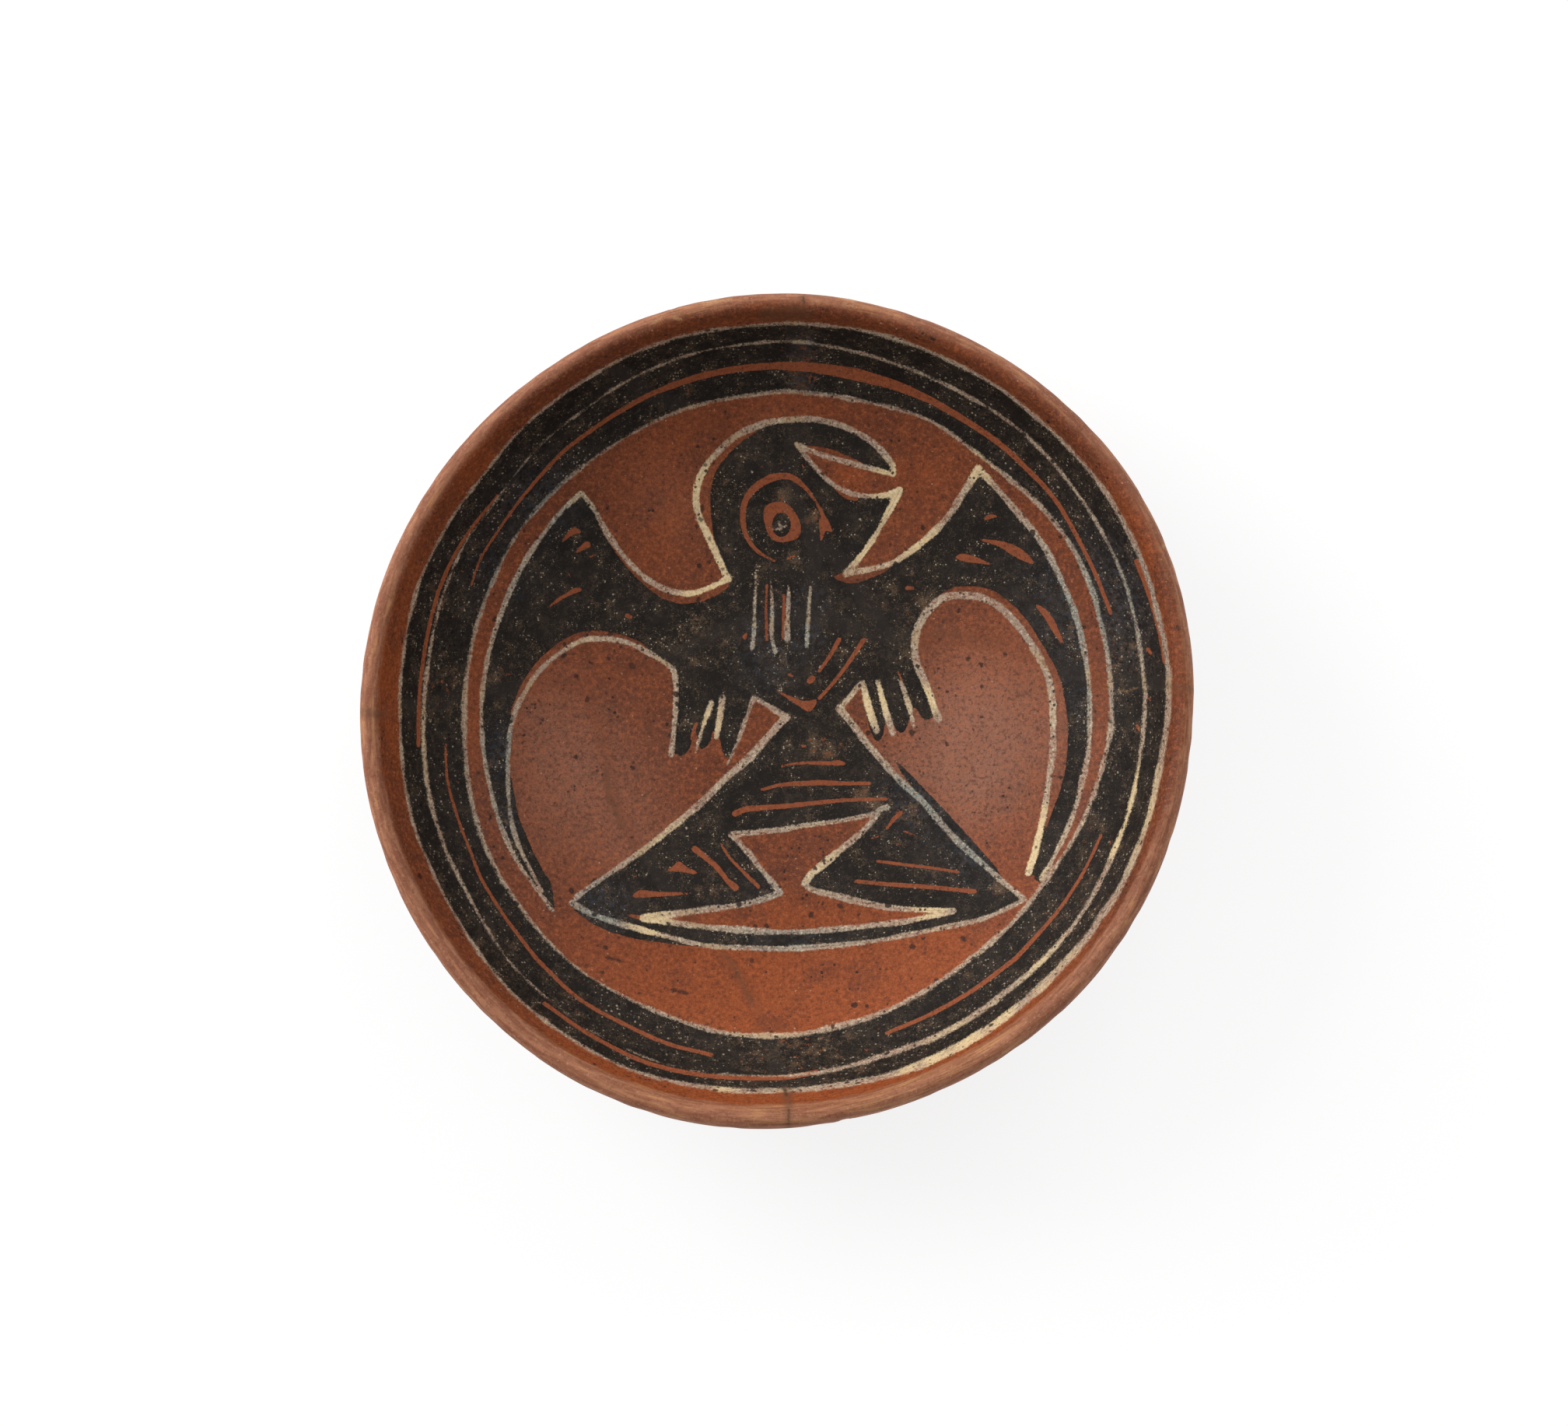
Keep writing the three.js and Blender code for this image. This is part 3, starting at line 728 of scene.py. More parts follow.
def dented(points, way):
    """Presses the rim in a little here and there, on both sides alike."""
    angle = np.arctan2(points[:, 1], points[:, 0])
    waves = [share * np.cos(bumps * angle + bumps**2) for bumps, share in RIM_DENTS]
    near_rim = np.clip((way - DENTS_FROM) * DENT_FADE, 0, 1)
    press = DENT_DEPTH * np.clip(sum(waves), 0, DENT_LIMIT) * near_rim
    result = points.copy()
    result[:, :2] *= (1 - press / RIM_RADIUS)[:, None]
    return result


def placed(plan, section, travel):
    """Points of one side of the plate, in mm, from their places on the flattened sheet."""
    way = np.minimum(np.linalg.norm(plan, axis=1) / REACH, 1.0)
    angle = np.arctan2(plan[:, 1], plan[:, 0])
    radius = np.interp(way * travel[-1], travel, section[:, 0])
    height = np.interp(way * travel[-1], travel, section[:, 1])
    bent = hand_built(radius * np.cos(angle), radius * np.sin(angle), height)
    return (bent - MIDDLE) * SHRINK


def flat_sheet():
    """The plate flattened: rings of points and the triangles between them."""
    plan = [np.zeros((1, 2))]
    for k in range(1, RINGS + 1):
        angle = 2 * math.pi * np.arange(6 * k) / (6 * k)
        plan.append(k / RINGS * REACH * np.stack((np.cos(angle), np.sin(angle)), axis=1))
    triangles = []
    for k in range(1, RINGS + 1):
        outer = 1 + 3 * k * (k - 1)
        inner = 1 + 3 * (k - 1) * (k - 2) if k > 1 else 0
        sector = np.repeat(np.arange(6), k)
        place = np.tile(np.arange(k), 6)
        a = outer + sector * k + place
        b = outer + (sector * k + place + 1) % (6 * k)
        around = max(6 * (k - 1), 1)
        c = inner + (sector * (k - 1) + place) % around
        triangles.append(np.stack((a, b, c), axis=1))
        more = place < k - 1
        d = inner + (sector * (k - 1) + place + 1) % around
        triangles.append(np.stack((c[more], b[more], d[more]), axis=1))
    return np.vstack(plan), np.vstack(triangles)


def chained(names):
    """Breaks joined end to end as one line. One that runs the other way is turned round."""
    first, *others = [STRETCHES[name] for name in names]
    line = list(first)
    if others and line[-1] not in (others[0][0], others[0][-1]):
        line.reverse()
    for stretch in others:
        onward = stretch if stretch[0] == line[-1] else stretch[::-1]
        line.extend(onward[1:])
    return line


def sherd_outline(names):
    """The plan of a sherd. One that reaches the rim is closed round the outside of the plate."""
    line = np.array(chained(names), float)
    if np.allclose(line[0], line[-1]):
        return line[:-1]
    last, first = (end / np.linalg.norm(end) for end in (line[-1], line[0]))
    middle = (last + first) / np.linalg.norm(last + first)
    return np.vstack((line, PAST_PLATE * last, PAST_PLATE * middle, PAST_PLATE * first))


# How far beside a strip its edge is still felt, in mm
SEAM_REACH = 6.0


def strip_edge(points, number):
    """Distance in mm to the edge of one filler strip: negative in the strip."""
    _, names, width = FILLS[number]
    distance, _ = nearest(points, np.array(chained(names), float), SEAM_REACH + width)
    spread = np.column_stack((points, np.zeros(len(points))))
    seed = 11 * number + 3
    uneven = swells(spread, [(*size, seed + k) for k, size in enumerate(BREAK_SWELLS)])
    return distance - width / 2 - uneven


def owner(points):
    """Which piece each point of the plan belongs to, as a number in PIECES."""
    result = np.full(len(points), len(PIECES) - 1)
    for number, (_, names) in enumerate(SHERDS):
        result[enclosed(points, sherd_outline(names))] = len(FILLS) + number
    for number in reversed(range(len(FILLS))):
        result[strip_edge(points, number) < 0] = number
    return result


def plan_owner(plan):
    return owner(placed(plan, TOP_SECTION, TOP_TRAVEL)[:, :2])


# How often the search for the place of a break halves its step
HALVINGS = 12


def fitted_to_breaks(plan, triangles):
    """Moves the points nearest each break onto it, and says which piece each triangle is in."""
    label = plan_owner(plan)
    sides = np.vstack((triangles[:, :2], triangles[:, 1:], triangles[:, ::2]))
    edges = np.unique(np.sort(sides, axis=1), axis=0)
    crossing = edges[label[edges[:, 0]] != label[edges[:, 1]]]
    start, end = plan[crossing[:, 0]], plan[crossing[:, 1]]
    low, high = np.zeros(len(crossing)), np.ones(len(crossing))
    for _ in range(HALVINGS):
        middle = (low + high) / 2
        same = plan_owner(start + middle[:, None] * (end - start)) == label[crossing[:, 0]]
        low = np.where(same, middle, low)
        high = np.where(same, high, middle)
    cut = start + low[:, None] * (end - start)
    mover = np.where(low < 0.5, crossing[:, 0], crossing[:, 1])
    shift = np.linalg.norm(cut - plan[mover], axis=1)
    order = np.argsort(-shift)
    moved = plan.copy()
    moved[mover[order]] = cut[order]
    on_break = np.zeros(len(plan), bool)
    on_break[mover] = True
    corner_labels = label[triangles]
    free = ~on_break[triangles]
    picked = corner_labels[np.arange(len(triangles)), free.argmax(axis=1)]
    centre_label = plan_owner(moved[triangles].mean(axis=1))
    return moved, np.where(free.any(axis=1), picked, centre_label)


PIT_COUNT = 240
PITTED_SHARE = 0.86
PIT_RADII = (0.4, 0.8)
PIT_DEPTH = 0.35
PIT_SEED = 5


def pits(points):
    """How deep each point is in a small pit: 1 at its bottom and 0 outside."""
    rng = np.random.default_rng(PIT_SEED)
    angle = rng.uniform(0, 2 * math.pi, PIT_COUNT)
    away = REACH * PITTED_SHARE * np.sqrt(rng.uniform(0, 1, PIT_COUNT))
    plan = np.stack((away * np.cos(angle), away * np.sin(angle)), axis=1)
    spots = placed(plan, TOP_SECTION, TOP_TRAVEL)
    size = rng.uniform(*PIT_RADII, PIT_COUNT)
    depth = np.zeros(len(points))
    for spot, radius in zip(spots, size):
        near = np.flatnonzero(np.abs(points - spot).max(axis=1) < radius)
        gap = np.linalg.norm(points[near] - spot, axis=1) / radius
        depth[near] = np.maximum(depth[near], 1 - gap)
    return depth


def surface_points(plan):
    """The upper and under sides in mm, with the marks that the hands and wear left."""
    top = placed(plan, TOP_SECTION, TOP_TRAVEL)
    base = placed(plan, BASE_SECTION, BASE_TRAVEL)
    way = np.linalg.norm(plan, axis=1) / REACH
    off_rim = np.clip((1 - way) * SWELL_FADE, 0, 1)
    pit = pits(top) * off_rim
    top[:, 2] += off_rim * swells(top, TOP_SWELLS) - PIT_DEPTH * pit
    off_base = np.clip((way - FLAT_BASE) * SWELL_FADE, 0, 1) * off_rim
    base[:, 2] += off_base * swells(base, BASE_SWELLS)
    base[:, 2] = np.maximum(base[:, 2], 0.0)
    shared = way > 1 - 1e-6
    base[shared] = top[shared]
    return scooped(dented(top, way)), scooped(dented(base, way)), pit


def top_fields(top, plan, pit):
    """Everything that the shaders need to know at each point of the upper side."""
    photo = photo_px(top)
    travel = np.linalg.norm(plan, axis=1)
    bearing = np.degrees(np.arctan2(plan[:, 1], plan[:, 0]))
    rubbed_from = np.interp(bearing, *zip(*RUBBED_FROM), period=360)
    seams = [strip_edge(top[:, :2], number) for number in range(len(FILLS))]
    band = band_field(photo)
    in_px = {
        "black": black_field(photo, band), "band": band, "cream": cream_field(photo),
        "rings": rings_field(photo), "red": red_field(photo),
        **{name: strokes_field(photo, strokes) for name, strokes in STROKE_FIELDS.items()},
    }
    return {
        **{name: values * MM_PER_PX for name, values in in_px.items()},
        **{name: spots_field(photo, spots) for name, spots in SPOT_FIELDS.items()},
        "travel": travel,
        "lip": travel - LIP_START - rubbed_from,
        "seam": np.min(np.stack(seams), axis=0),
        "pit": pit,
        "under": np.zeros(len(top)),
        "foot": np.full(len(top), -BASE_RADIUS),
    }


NO_PAINT = -4.0


def under_fields(plan, seam):
    """The same for the underside, which has no painting."""
    count = len(plan)
    travel = np.linalg.norm(plan, axis=1) / REACH * BASE_TRAVEL[-1]
    fields = {
        "travel": REACH + BASE_TRAVEL[-1] - travel,
        "lip": RUBBED_OUTSIDE - (BASE_TRAVEL[-1] - travel),
        "seam": seam,
        "under": np.ones(count),
        "foot": BASE_RADIUS - travel,
    }
    for name in ("black", "band", "cream", "rings", "red", *STROKE_FIELDS):
        fields[name] = np.full(count, NO_PAINT)
    for name in (*SPOT_FIELDS, "pit"):
        fields[name] = np.zeros(count)
    return fields


def sheet_normals(points, faces):
    """Normals of the whole plate, so that no break shows as a crease."""
    corners = points[faces]
    across = np.cross(corners[:, 1] - corners[:, 0], corners[:, 2] - corners[:, 0])
    total = np.zeros_like(points)
    for k in range(3):
        np.add.at(total, faces[:, k], across)
    return total / np.maximum(np.linalg.norm(total, axis=1), 1e-9)[:, None]


def turned_under(triangles, count, on_rim):
    """The underside's triangles. The points of the rim belong to both sides."""
    over = triangles[:, ::-1]
    return np.where(on_rim[over], over, over + count)


def border_of(triangles, on_rim):
    """The edges of a piece's upper side that lie on a break."""
    sides = np.vstack((triangles[:, [0, 1]], triangles[:, [1, 2]], triangles[:, [2, 0]]))
    keys = np.sort(sides, axis=1)
    _, index, repeats = np.unique(keys, axis=0, return_index=True, return_counts=True)
    border = sides[index[repeats == 1]]
    return border[~(on_rim[border[:, 0]] & on_rim[border[:, 1]])]


def border_walk(border, lengths):
    """The distance walked along the breaks before each edge of a border."""
    leaving = {}
    for number, (start, _) in enumerate(border):
        leaving.setdefault(start, []).append(number)
    reached = set(border[:, 1])
    firsts = [number for number, (start, _) in enumerate(border) if start not in reached]
    walked = np.full(len(border), -1.0)
    distance = 0.0
    for number in [*firsts, *range(len(border))]:
        while walked[number] < 0:
            walked[number] = distance
            distance += lengths[number]
            onward = [other for other in leaving.get(border[number][1], ()) if walked[other] < 0]
            if not onward:
                break
            number = onward[0]
    return walked


# The bake map: the upper side at the lower left, the underside at the upper right, and the
# walls of the breaks in rows at the lower right
MAP_MARGIN = 0.01
TOP_SHARE = 0.60
BASE_SHARE = 0.36
WALL_SHARE = 0.34
WALLS_FROM = 0.63
# Between the rows of walls, in mm
ROW_GAP = 1.0


def side_places(plan, low, size):
    """Where each point of a piece's upper side and underside goes in the bake map."""
    above = MAP_MARGIN + (plan - low) / size * TOP_SHARE
    below = 1 - MAP_MARGIN - (low + size - plan) / size * BASE_SHARE
    return above, below


def break_walls(border, plan, thickness, on_rim, size):
    """The walls of the breaks: the corners of each face, with their places in the bake map."""
    scale = WALL_SHARE / size
    lengths = np.linalg.norm(plan[border[:, 1]] - plan[border[:, 0]], axis=1)
    walked = border_walk(border, lengths)
    row_height = (thickness.max() + ROW_GAP) * scale
    walls = []
    for (start, end), before, length in zip(border.tolist(), walked, lengths):
        row = before // size
        u_start = WALLS_FROM + (before - row * size) * scale
        u_end = u_start + length * scale
        v = MAP_MARGIN + row * row_height
        corners = {
            end: (u_end, v + thickness[end] * scale),
            start: (u_start, v + thickness[start] * scale),
        }
        corners.setdefault(start if on_rim[start] else start + len(plan), (u_start, v))
        corners.setdefault(end if on_rim[end] else end + len(plan), (u_end, v))
        walls.append(corners)
    return walls


def new_object(name, data):
    thing = bpy.data.objects.new(name, data)
    bpy.context.scene.collection.objects.link(thing)
    return thing


def make_piece(name, faces, face_places, walls, points, normals, fields):
    """A closed mesh of one piece with its paint fields, normals and bake map."""
    corners = np.concatenate([faces.ravel(), *(list(wall) for wall in walls)])
    places = np.vstack([face_places, *(list(wall.values()) for wall in walls)])
    sizes = np.array([3] * len(faces) + [len(wall) for wall in walls])
    corner_normals = np.where(np.arange(len(corners))[:, None] < faces.size, normals[corners], 0.0)
    used, index = np.unique(corners, return_inverse=True)
    mesh = bpy.data.meshes.new(name + "_look")
    mesh.vertices.add(len(used))
    mesh.vertices.foreach_set("co", (points[used] * METRES).ravel())
    mesh.loops.add(len(index))
    mesh.loops.foreach_set("vertex_index", index.astype(np.int32))
    mesh.polygons.add(len(sizes))
    starts = np.concatenate(((0,), np.cumsum(sizes)[:-1]))
    mesh.polygons.foreach_set("loop_start", starts.astype(np.int32))
    is_wall = np.arange(len(sizes)) >= len(faces)
    mesh.polygons.foreach_set("use_smooth", ~is_wall)
    mesh.update(calc_edges=True)
    if mesh.validate():
        raise ValueError(name + " has a face that Blender rejects")
    mesh.normals_split_custom_set(corner_normals.tolist())
    for key, values in fields.items():
        layer = mesh.attributes.new(key, "FLOAT", "POINT")
        layer.data.foreach_set("value", values[used].astype(np.float32))
    broken = mesh.attributes.new("broken", "FLOAT", "FACE")
    broken.data.foreach_set("value", is_wall.astype(np.float32))
    mesh.uv_layers.new(name="OFBake").data.foreach_set("uv", places.astype(np.float32).ravel())
    return new_object(name + "_look", mesh)


def build_plate(clay, filler):
    plan, triangles = flat_sheet()
    plan, owners = fitted_to_breaks(plan, triangles)
    top, base, pit = surface_points(plan)
    count = len(plan)
    painted = top_fields(top, plan, pit)
    plain = under_fields(plan, painted["seam"])
    fields = {key: np.concatenate((painted[key], plain[key])) for key in painted}
    points = np.vstack((top, base))
    thickness = np.linalg.norm(top - base, axis=1)
    on_rim = np.arange(count) >= 1 + 3 * RINGS * (RINGS - 1)
    normals = sheet_normals(points, np.vstack((triangles, turned_under(triangles, count, on_rim))))
    for number, name in enumerate(PIECES):
        is_fill = number < len(FILLS)
        mine = triangles[owners == number]
        under = turned_under(mine, count, on_rim)
        low, high = plan[mine].min((0, 1)), plan[mine].max((0, 1))
        size = (high - low).max()
        above, below = side_places(plan, low, size)
        face_places = np.vstack((above[mine].reshape(-1, 2), below[mine[:, ::-1]].reshape(-1, 2)))
        walls = break_walls(border_of(mine, on_rim), plan, thickness, on_rim, size)
        thing = make_piece(name, np.vstack((mine, under)), face_places, walls, points, normals, fields)
        thing.data.materials.append(filler if is_fill else clay)
        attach(thing, "root")
        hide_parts(name)


def tone(red, green, blue):
    """A colour as seen on screen, 0 to 255, as the light that it sends back."""
    shares = [value / 255 for value in (red, green, blue)]
    light = [v / 12.92 if v < 0.04045 else ((v + 0.055) / 1.055) ** 2.4 for v in shares]
    return (*light, 1.0)


# How much slower the streaks change along the rim than noise of 1 mm would
STREAK_STRETCH = 0.09
# How fast and how far the places of grains are shaken, in cells of their net
SHAKE_PACE, SHAKE_REACH = 2.2, 0.5
# A high power makes most grains small. The last two are the ends of a grain's soft edge.
GRAIN_POWER, GRAIN_EDGE = 2.5, (0.05, -0.07)


class Shader:
    """Short ways to lay out the nodes of one material."""

    def __init__(self, name):
        self.material = bpy.data.materials.new(name)
        self.material.use_nodes = True
        self.tree = self.material.node_tree
        self.tree.nodes.clear()
        node = self.node("ShaderNodeVectorMath")
        node.operation = "SCALE"
        self.feed(node.inputs[0], self.node("ShaderNodeTexCoord").outputs["Object"])
        self.feed(node.inputs["Scale"], 1 / METRES)
        self.mm = node.outputs[0]

    def node(self, kind):
        return self.tree.nodes.new(kind)

    def feed(self, socket, value):
        if isinstance(value, bpy.types.NodeSocket):
            self.tree.links.new(value, socket)
        else:
            socket.default_value = value

    def maths(self, operation, first, second=0.0):
        node = self.node("ShaderNodeMath")
        node.operation = operation
        self.feed(node.inputs[0], first)
        self.feed(node.inputs[1], second)
        return node.outputs[0]

    def add(self, first, second):
        return self.maths("ADD", first, second)

    def times(self, first, second):
        return self.maths("MULTIPLY", first, second)

    def centred(self, noise):
        """Noise moved down so that it lies on both sides of 0."""
        return self.maths("ADD", noise, -0.5)

    def less(self, value):
        return self.maths("SUBTRACT", 1.0, value)

    def high(self, first, second):
        return self.maths("MAXIMUM", first, second)

    def low(self, first, second):
        return self.maths("MINIMUM", first, second)

    def step(self, value, start, end):
        """A soft step from 0 at start to 1 at end, whichever is the higher."""
        node = self.node("ShaderNodeMapRange")
        node.interpolation_type = "SMOOTHSTEP"
        self.feed(node.inputs["Value"], value)
        node.inputs["From Min"].default_value = min(start, end)
        node.inputs["From Max"].default_value = max(start, end)
        if start > end:
            node.inputs["To Min"].default_value = 1.0
            node.inputs["To Max"].default_value = 0.0
        return node.outputs["Result"]

    def mixed(self, factor, first, second):
        node = self.node("ShaderNodeMix")
        node.data_type = "RGBA"
        self.feed(node.inputs["Factor"], factor)
        colours = [socket for socket in node.inputs if socket.type == "RGBA"]
        self.feed(colours[0], first)
        self.feed(colours[1], second)
        return [socket for socket in node.outputs if socket.type == "RGBA"][0]

    def between(self, factor, first, second):
        node = self.node("ShaderNodeMix")
        node.data_type = "FLOAT"
        numbers = [socket for socket in node.inputs if socket.type == "VALUE"]
        self.feed(numbers[0], factor)
        self.feed(numbers[1], first)
        self.feed(numbers[2], second)
        return [socket for socket in node.outputs if socket.type == "VALUE"][0]

    def noise(self, size, detail=3.0, roughness=0.55, vector=None):
        """Noise from 0 to 1 whose features are about size mm long."""
        node = self.node("ShaderNodeTexNoise")
        self.feed(node.inputs["Vector"], self.mm if vector is None else vector)
        node.inputs["Scale"].default_value = 1 / size
        node.inputs["Detail"].default_value = detail
        node.inputs["Roughness"].default_value = roughness
        return node.outputs["Fac"]

    def patches(self, start, end, *noise):
        """Soft-edged patches, where the noise is past start and end."""
        return self.step(self.noise(*noise), start, end)

    def grains(self, size, radius, share):
        """Small uneven specks of mixed sizes on a share of the cells of a net of that size."""
        shake = self.node("ShaderNodeVectorMath")
        shake.operation = "MULTIPLY_ADD"
        noise = self.node("ShaderNodeTexNoise")
        self.feed(noise.inputs["Vector"], self.mm)
        noise.inputs["Scale"].default_value = SHAKE_PACE / size
        self.feed(shake.inputs[0], noise.outputs["Color"])
        shake.inputs[1].default_value = [size * SHAKE_REACH] * 3
        self.feed(shake.inputs[2], self.mm)
        node = self.node("ShaderNodeTexVoronoi")
        self.feed(node.inputs["Vector"], shake.outputs[0])
        node.inputs["Scale"].default_value = 1 / size
        parts = self.node("ShaderNodeSeparateColor")
        self.feed(parts.inputs[0], node.outputs["Color"])
        reach = self.times(self.maths("POWER", parts.outputs[1], GRAIN_POWER), radius / size)
        speck = self.step(self.maths("SUBTRACT", node.outputs["Distance"], reach), *GRAIN_EDGE)
        return self.times(speck, self.step(parts.outputs[0], 1 - share, 1.001 - share))

    def streaks(self, across):
        """Noise drawn out along the rim, as a burnishing stone or a hand leaves it."""
        parts = self.node("ShaderNodeSeparateXYZ")
        self.feed(parts.inputs[0], self.mm)
        joined_up = self.node("ShaderNodeCombineXYZ")
        for side in (0, 1):
            self.feed(joined_up.inputs[side], self.times(parts.outputs[side], STREAK_STRETCH))
        self.feed(joined_up.inputs[2], self.times(self.field("travel"), across))
        return self.noise(1.0, 4.0, 0.65, joined_up.outputs[0])

    def field(self, name):
        node = self.node("ShaderNodeAttribute")
        node.attribute_name = name
        return node.outputs["Fac"]

    def laid(self, colour, mask, strength, shade):
        """A shade laid over a colour where the mask is high."""
        return self.mixed(self.times(mask, strength), colour, tone(*shade))

    def ended_in(self, surface):
        """The material, once its surface is joined to the output."""
        out = self.node("ShaderNodeOutputMaterial")
        self.tree.links.new(surface.outputs[0], out.inputs["Surface"])
        return self.material


def red_slip(s):
    """Burnished red slip: uneven, finely mottled, a little dusty in places, with a painted sheen in the
    hollows.
    """
    fine = s.noise(0.42, 4.0, 0.8)
    dirt = s.patches(0.48, 0.66, 13, 5.0, 0.6)
    warm = s.times(s.low(s.field("warm"), 1.0), 0.75)
    # Painted sheen: where the lamps' reflection on the floor is painted into the colour
    painted_sheen = s.times(s.low(s.field("painted_sheen"), 1.6), s.between(s.noise(0.8, 4.0, 0.75), 0.1, 1.0))
    colour = s.mixed(s.patches(0.35, 0.65, 30, 3.0), tone(108, 56, 33), tone(122, 63, 36))
    mottle = s.patches(0.44, 0.66, 4.5, 5.0, 0.7)
    colour = s.laid(colour, mottle, 0.55, (86, 48, 34))
    lighter = s.patches(0.50, 0.64, 1.6, 5.0, 0.75)
    colour = s.laid(colour, lighter, 0.45, (156, 84, 48))
    colour = s.mixed(warm, colour, tone(150, 73, 33))
    colour = s.laid(colour, dirt, 0.35, (74, 44, 34))
    # The painted sheen, laid over the slip as a pale pinkish tone
    colour = s.laid(colour, painted_sheen, 0.6, (168, 122, 102))
    colour = s.laid(colour, s.step(fine, 0.50, 0.66), 0.5, (58, 32, 24))
    colour = s.laid(colour, s.step(fine, 0.47, 0.32), 0.4, (184, 110, 70))
    grit = s.noise(1.1, 3.0, 0.65)
    colour = s.laid(colour, s.step(grit, 0.53, 0.63), 0.5, (80, 42, 29))
    colour = s.laid(colour, s.step(grit, 0.46, 0.36), 0.4, (172, 96, 58))
    clustered = s.times(s.grains(1.1, 0.55, 0.6), s.add(s.times(dirt, 0.8), 0.25))
    dark_specks = s.high(clustered, s.grains(3.2, 1.0, 0.35))
    colour = s.laid(colour, dark_specks, 0.8, (34, 23, 20))
    return s.laid(colour, s.grains(1.5, 0.28, 0.3), 0.55, (200, 156, 126))


def black_slip(s):
    """Dark slip: near black, with brown blotches and clusters of tiny pale specks."""
    worn = s.field("worn")
    band = s.step(s.field("band"), -0.5, 0.5)
    fine = s.noise(0.38, 4.0, 0.85)
    cloud = s.noise(9, 5.0, 0.65)
    colour = s.mixed(s.step(cloud, 0.35, 0.7), tone(25, 20, 16), tone(38, 32, 27))
    blotch = s.add(s.noise(2.0, 5.0, 0.7), s.times(s.centred(cloud), 0.5))
    colour = s.laid(colour, s.step(blotch, 0.5, 0.64), 0.6, (58, 47, 38))
    rub = s.add(s.noise(5, 5.0, 0.7), s.times(s.low(worn, 2.2), 0.11))
    colour = s.laid(colour, s.step(rub, 0.58, 0.74), 0.5, (94, 68, 49))
    dust = s.step(s.add(s.noise(1.0, 5.0, 0.85), s.times(s.centred(rub), 0.5)), 0.55, 0.68)
    colour = s.mixed(s.times(dust, s.between(band, 0.5, 0.36)), colour, tone(98, 83, 66))
    speckle = s.step(s.add(fine, s.times(s.centred(rub), 0.35)), 0.57, 0.66)
    colour = s.mixed(s.times(speckle, s.between(band, 0.6, 0.45)), colour, tone(120, 96, 72))
    colour = s.laid(colour, s.step(fine, 0.46, 0.36), 0.7, (12, 9, 8))
    cool = s.times(s.low(s.field("cool"), 1.0), s.patches(0.42, 0.66, 1.6, 5.0, 0.75))
    colour = s.laid(colour, cool, 0.4, (80, 86, 98))
    chips = s.add(s.noise(2.2, 5.0, 0.75), s.add(s.times(s.low(worn, 1.4), 0.10), s.times(band, 0.02)))
    colour = s.laid(colour, s.step(chips, 0.69, 0.73), 0.8, (134, 74, 44))
    clusters = s.patches(0.46, 0.60, 5.0, 5.0, 0.75)
    specks = s.times(s.grains(0.55, 0.24, 0.7), clusters)
    specks = s.high(specks, s.times(s.grains(1.9, 0.34, 0.25), 0.8))
    specks = s.times(specks, s.between(band, 0.75, 0.5))
    colour = s.mixed(specks, colour, tone(194, 182, 160))
    holes = s.times(s.times(s.grains(1.2, 0.6, 0.5), band), 0.8)
    colour = s.mixed(holes, colour, tone(10, 7, 6))
    sparks = s.times(s.grains(0.75, 0.36, 0.5), s.times(band, s.step(cloud, 0.42, 0.58)))
    return s.laid(colour, sparks, 0.55, (184, 168, 142))


def red_line(s):
    return s.mixed(s.noise(0.9, 4.0, 0.8), tone(92, 46, 29), tone(180, 98, 60))


def cream_thickness(s):
    """How thick the cream lies: 0 where it is rubbed nearly through, 1 where it is whole."""
    uneven = s.times(s.centred(s.noise(8, 3.0)), 0.9)
    return s.step(s.add(s.low(s.field("yellow"), 1.1), uneven), 0.1, 0.9)


def cream_cover(s, thick):
    """How much of the ground the cream hides: thin cream has small gaps worn through it."""
    gaps = s.patches(0.51, 0.61, 1.0, 4.0, 0.75)
    return s.less(s.times(gaps, s.between(thick, 0.8, 0.3)))


def cream_slip(s, thick):
    """Cream slip: greyish and pink where it is rubbed, and yellow where it is thick."""
    fine = s.noise(0.8, 4.0, 0.8)
    colour = s.mixed(s.patches(0.42, 0.58, 11, 3.0), tone(168, 140, 120), tone(176, 154, 132))
    colour = s.mixed(s.low(s.field("cool"), 0.8), colour, tone(134, 142, 134))
    colour = s.mixed(thick, colour, tone(224, 198, 152))
    colour = s.laid(colour, s.patches(0.5, 0.7, 3, 4.0, 0.7), 0.45, (160, 138, 118))
    gaps = s.times(s.step(fine, 0.53, 0.64), s.between(thick, 0.6, 0.35))
    colour = s.mixed(gaps, colour, tone(98, 70, 54))
    colour = s.laid(colour, s.step(fine, 0.47, 0.36), 0.65, (234, 218, 188))
    dots = s.high(s.grains(2.6, 1.0, 0.5), s.grains(1.1, 0.5, 0.45))
    return s.laid(colour, dots, 0.9, (34, 26, 22))


def rubbed_lip(s):
    """The bare rounded lip: pale, pinkish and streaked along the rim."""
    colour = s.mixed(s.step(s.brushed, 0.38, 0.64), tone(132, 82, 60), tone(164, 112, 84))
    brown = s.patches(0.50, 0.66, 1.3, 5.0, 0.75)
    colour = s.laid(colour, brown, 0.5, (104, 60, 42))
    pale = s.patches(0.54, 0.68, 0.8, 4.0, 0.75)
    colour = s.laid(colour, pale, 0.5, (186, 142, 114))
    ochre = s.times(s.step(s.brushed, 0.54, 0.66), s.patches(0.45, 0.6, 14, 3.0))
    return s.laid(colour, ochre, 0.6, (186, 134, 84))


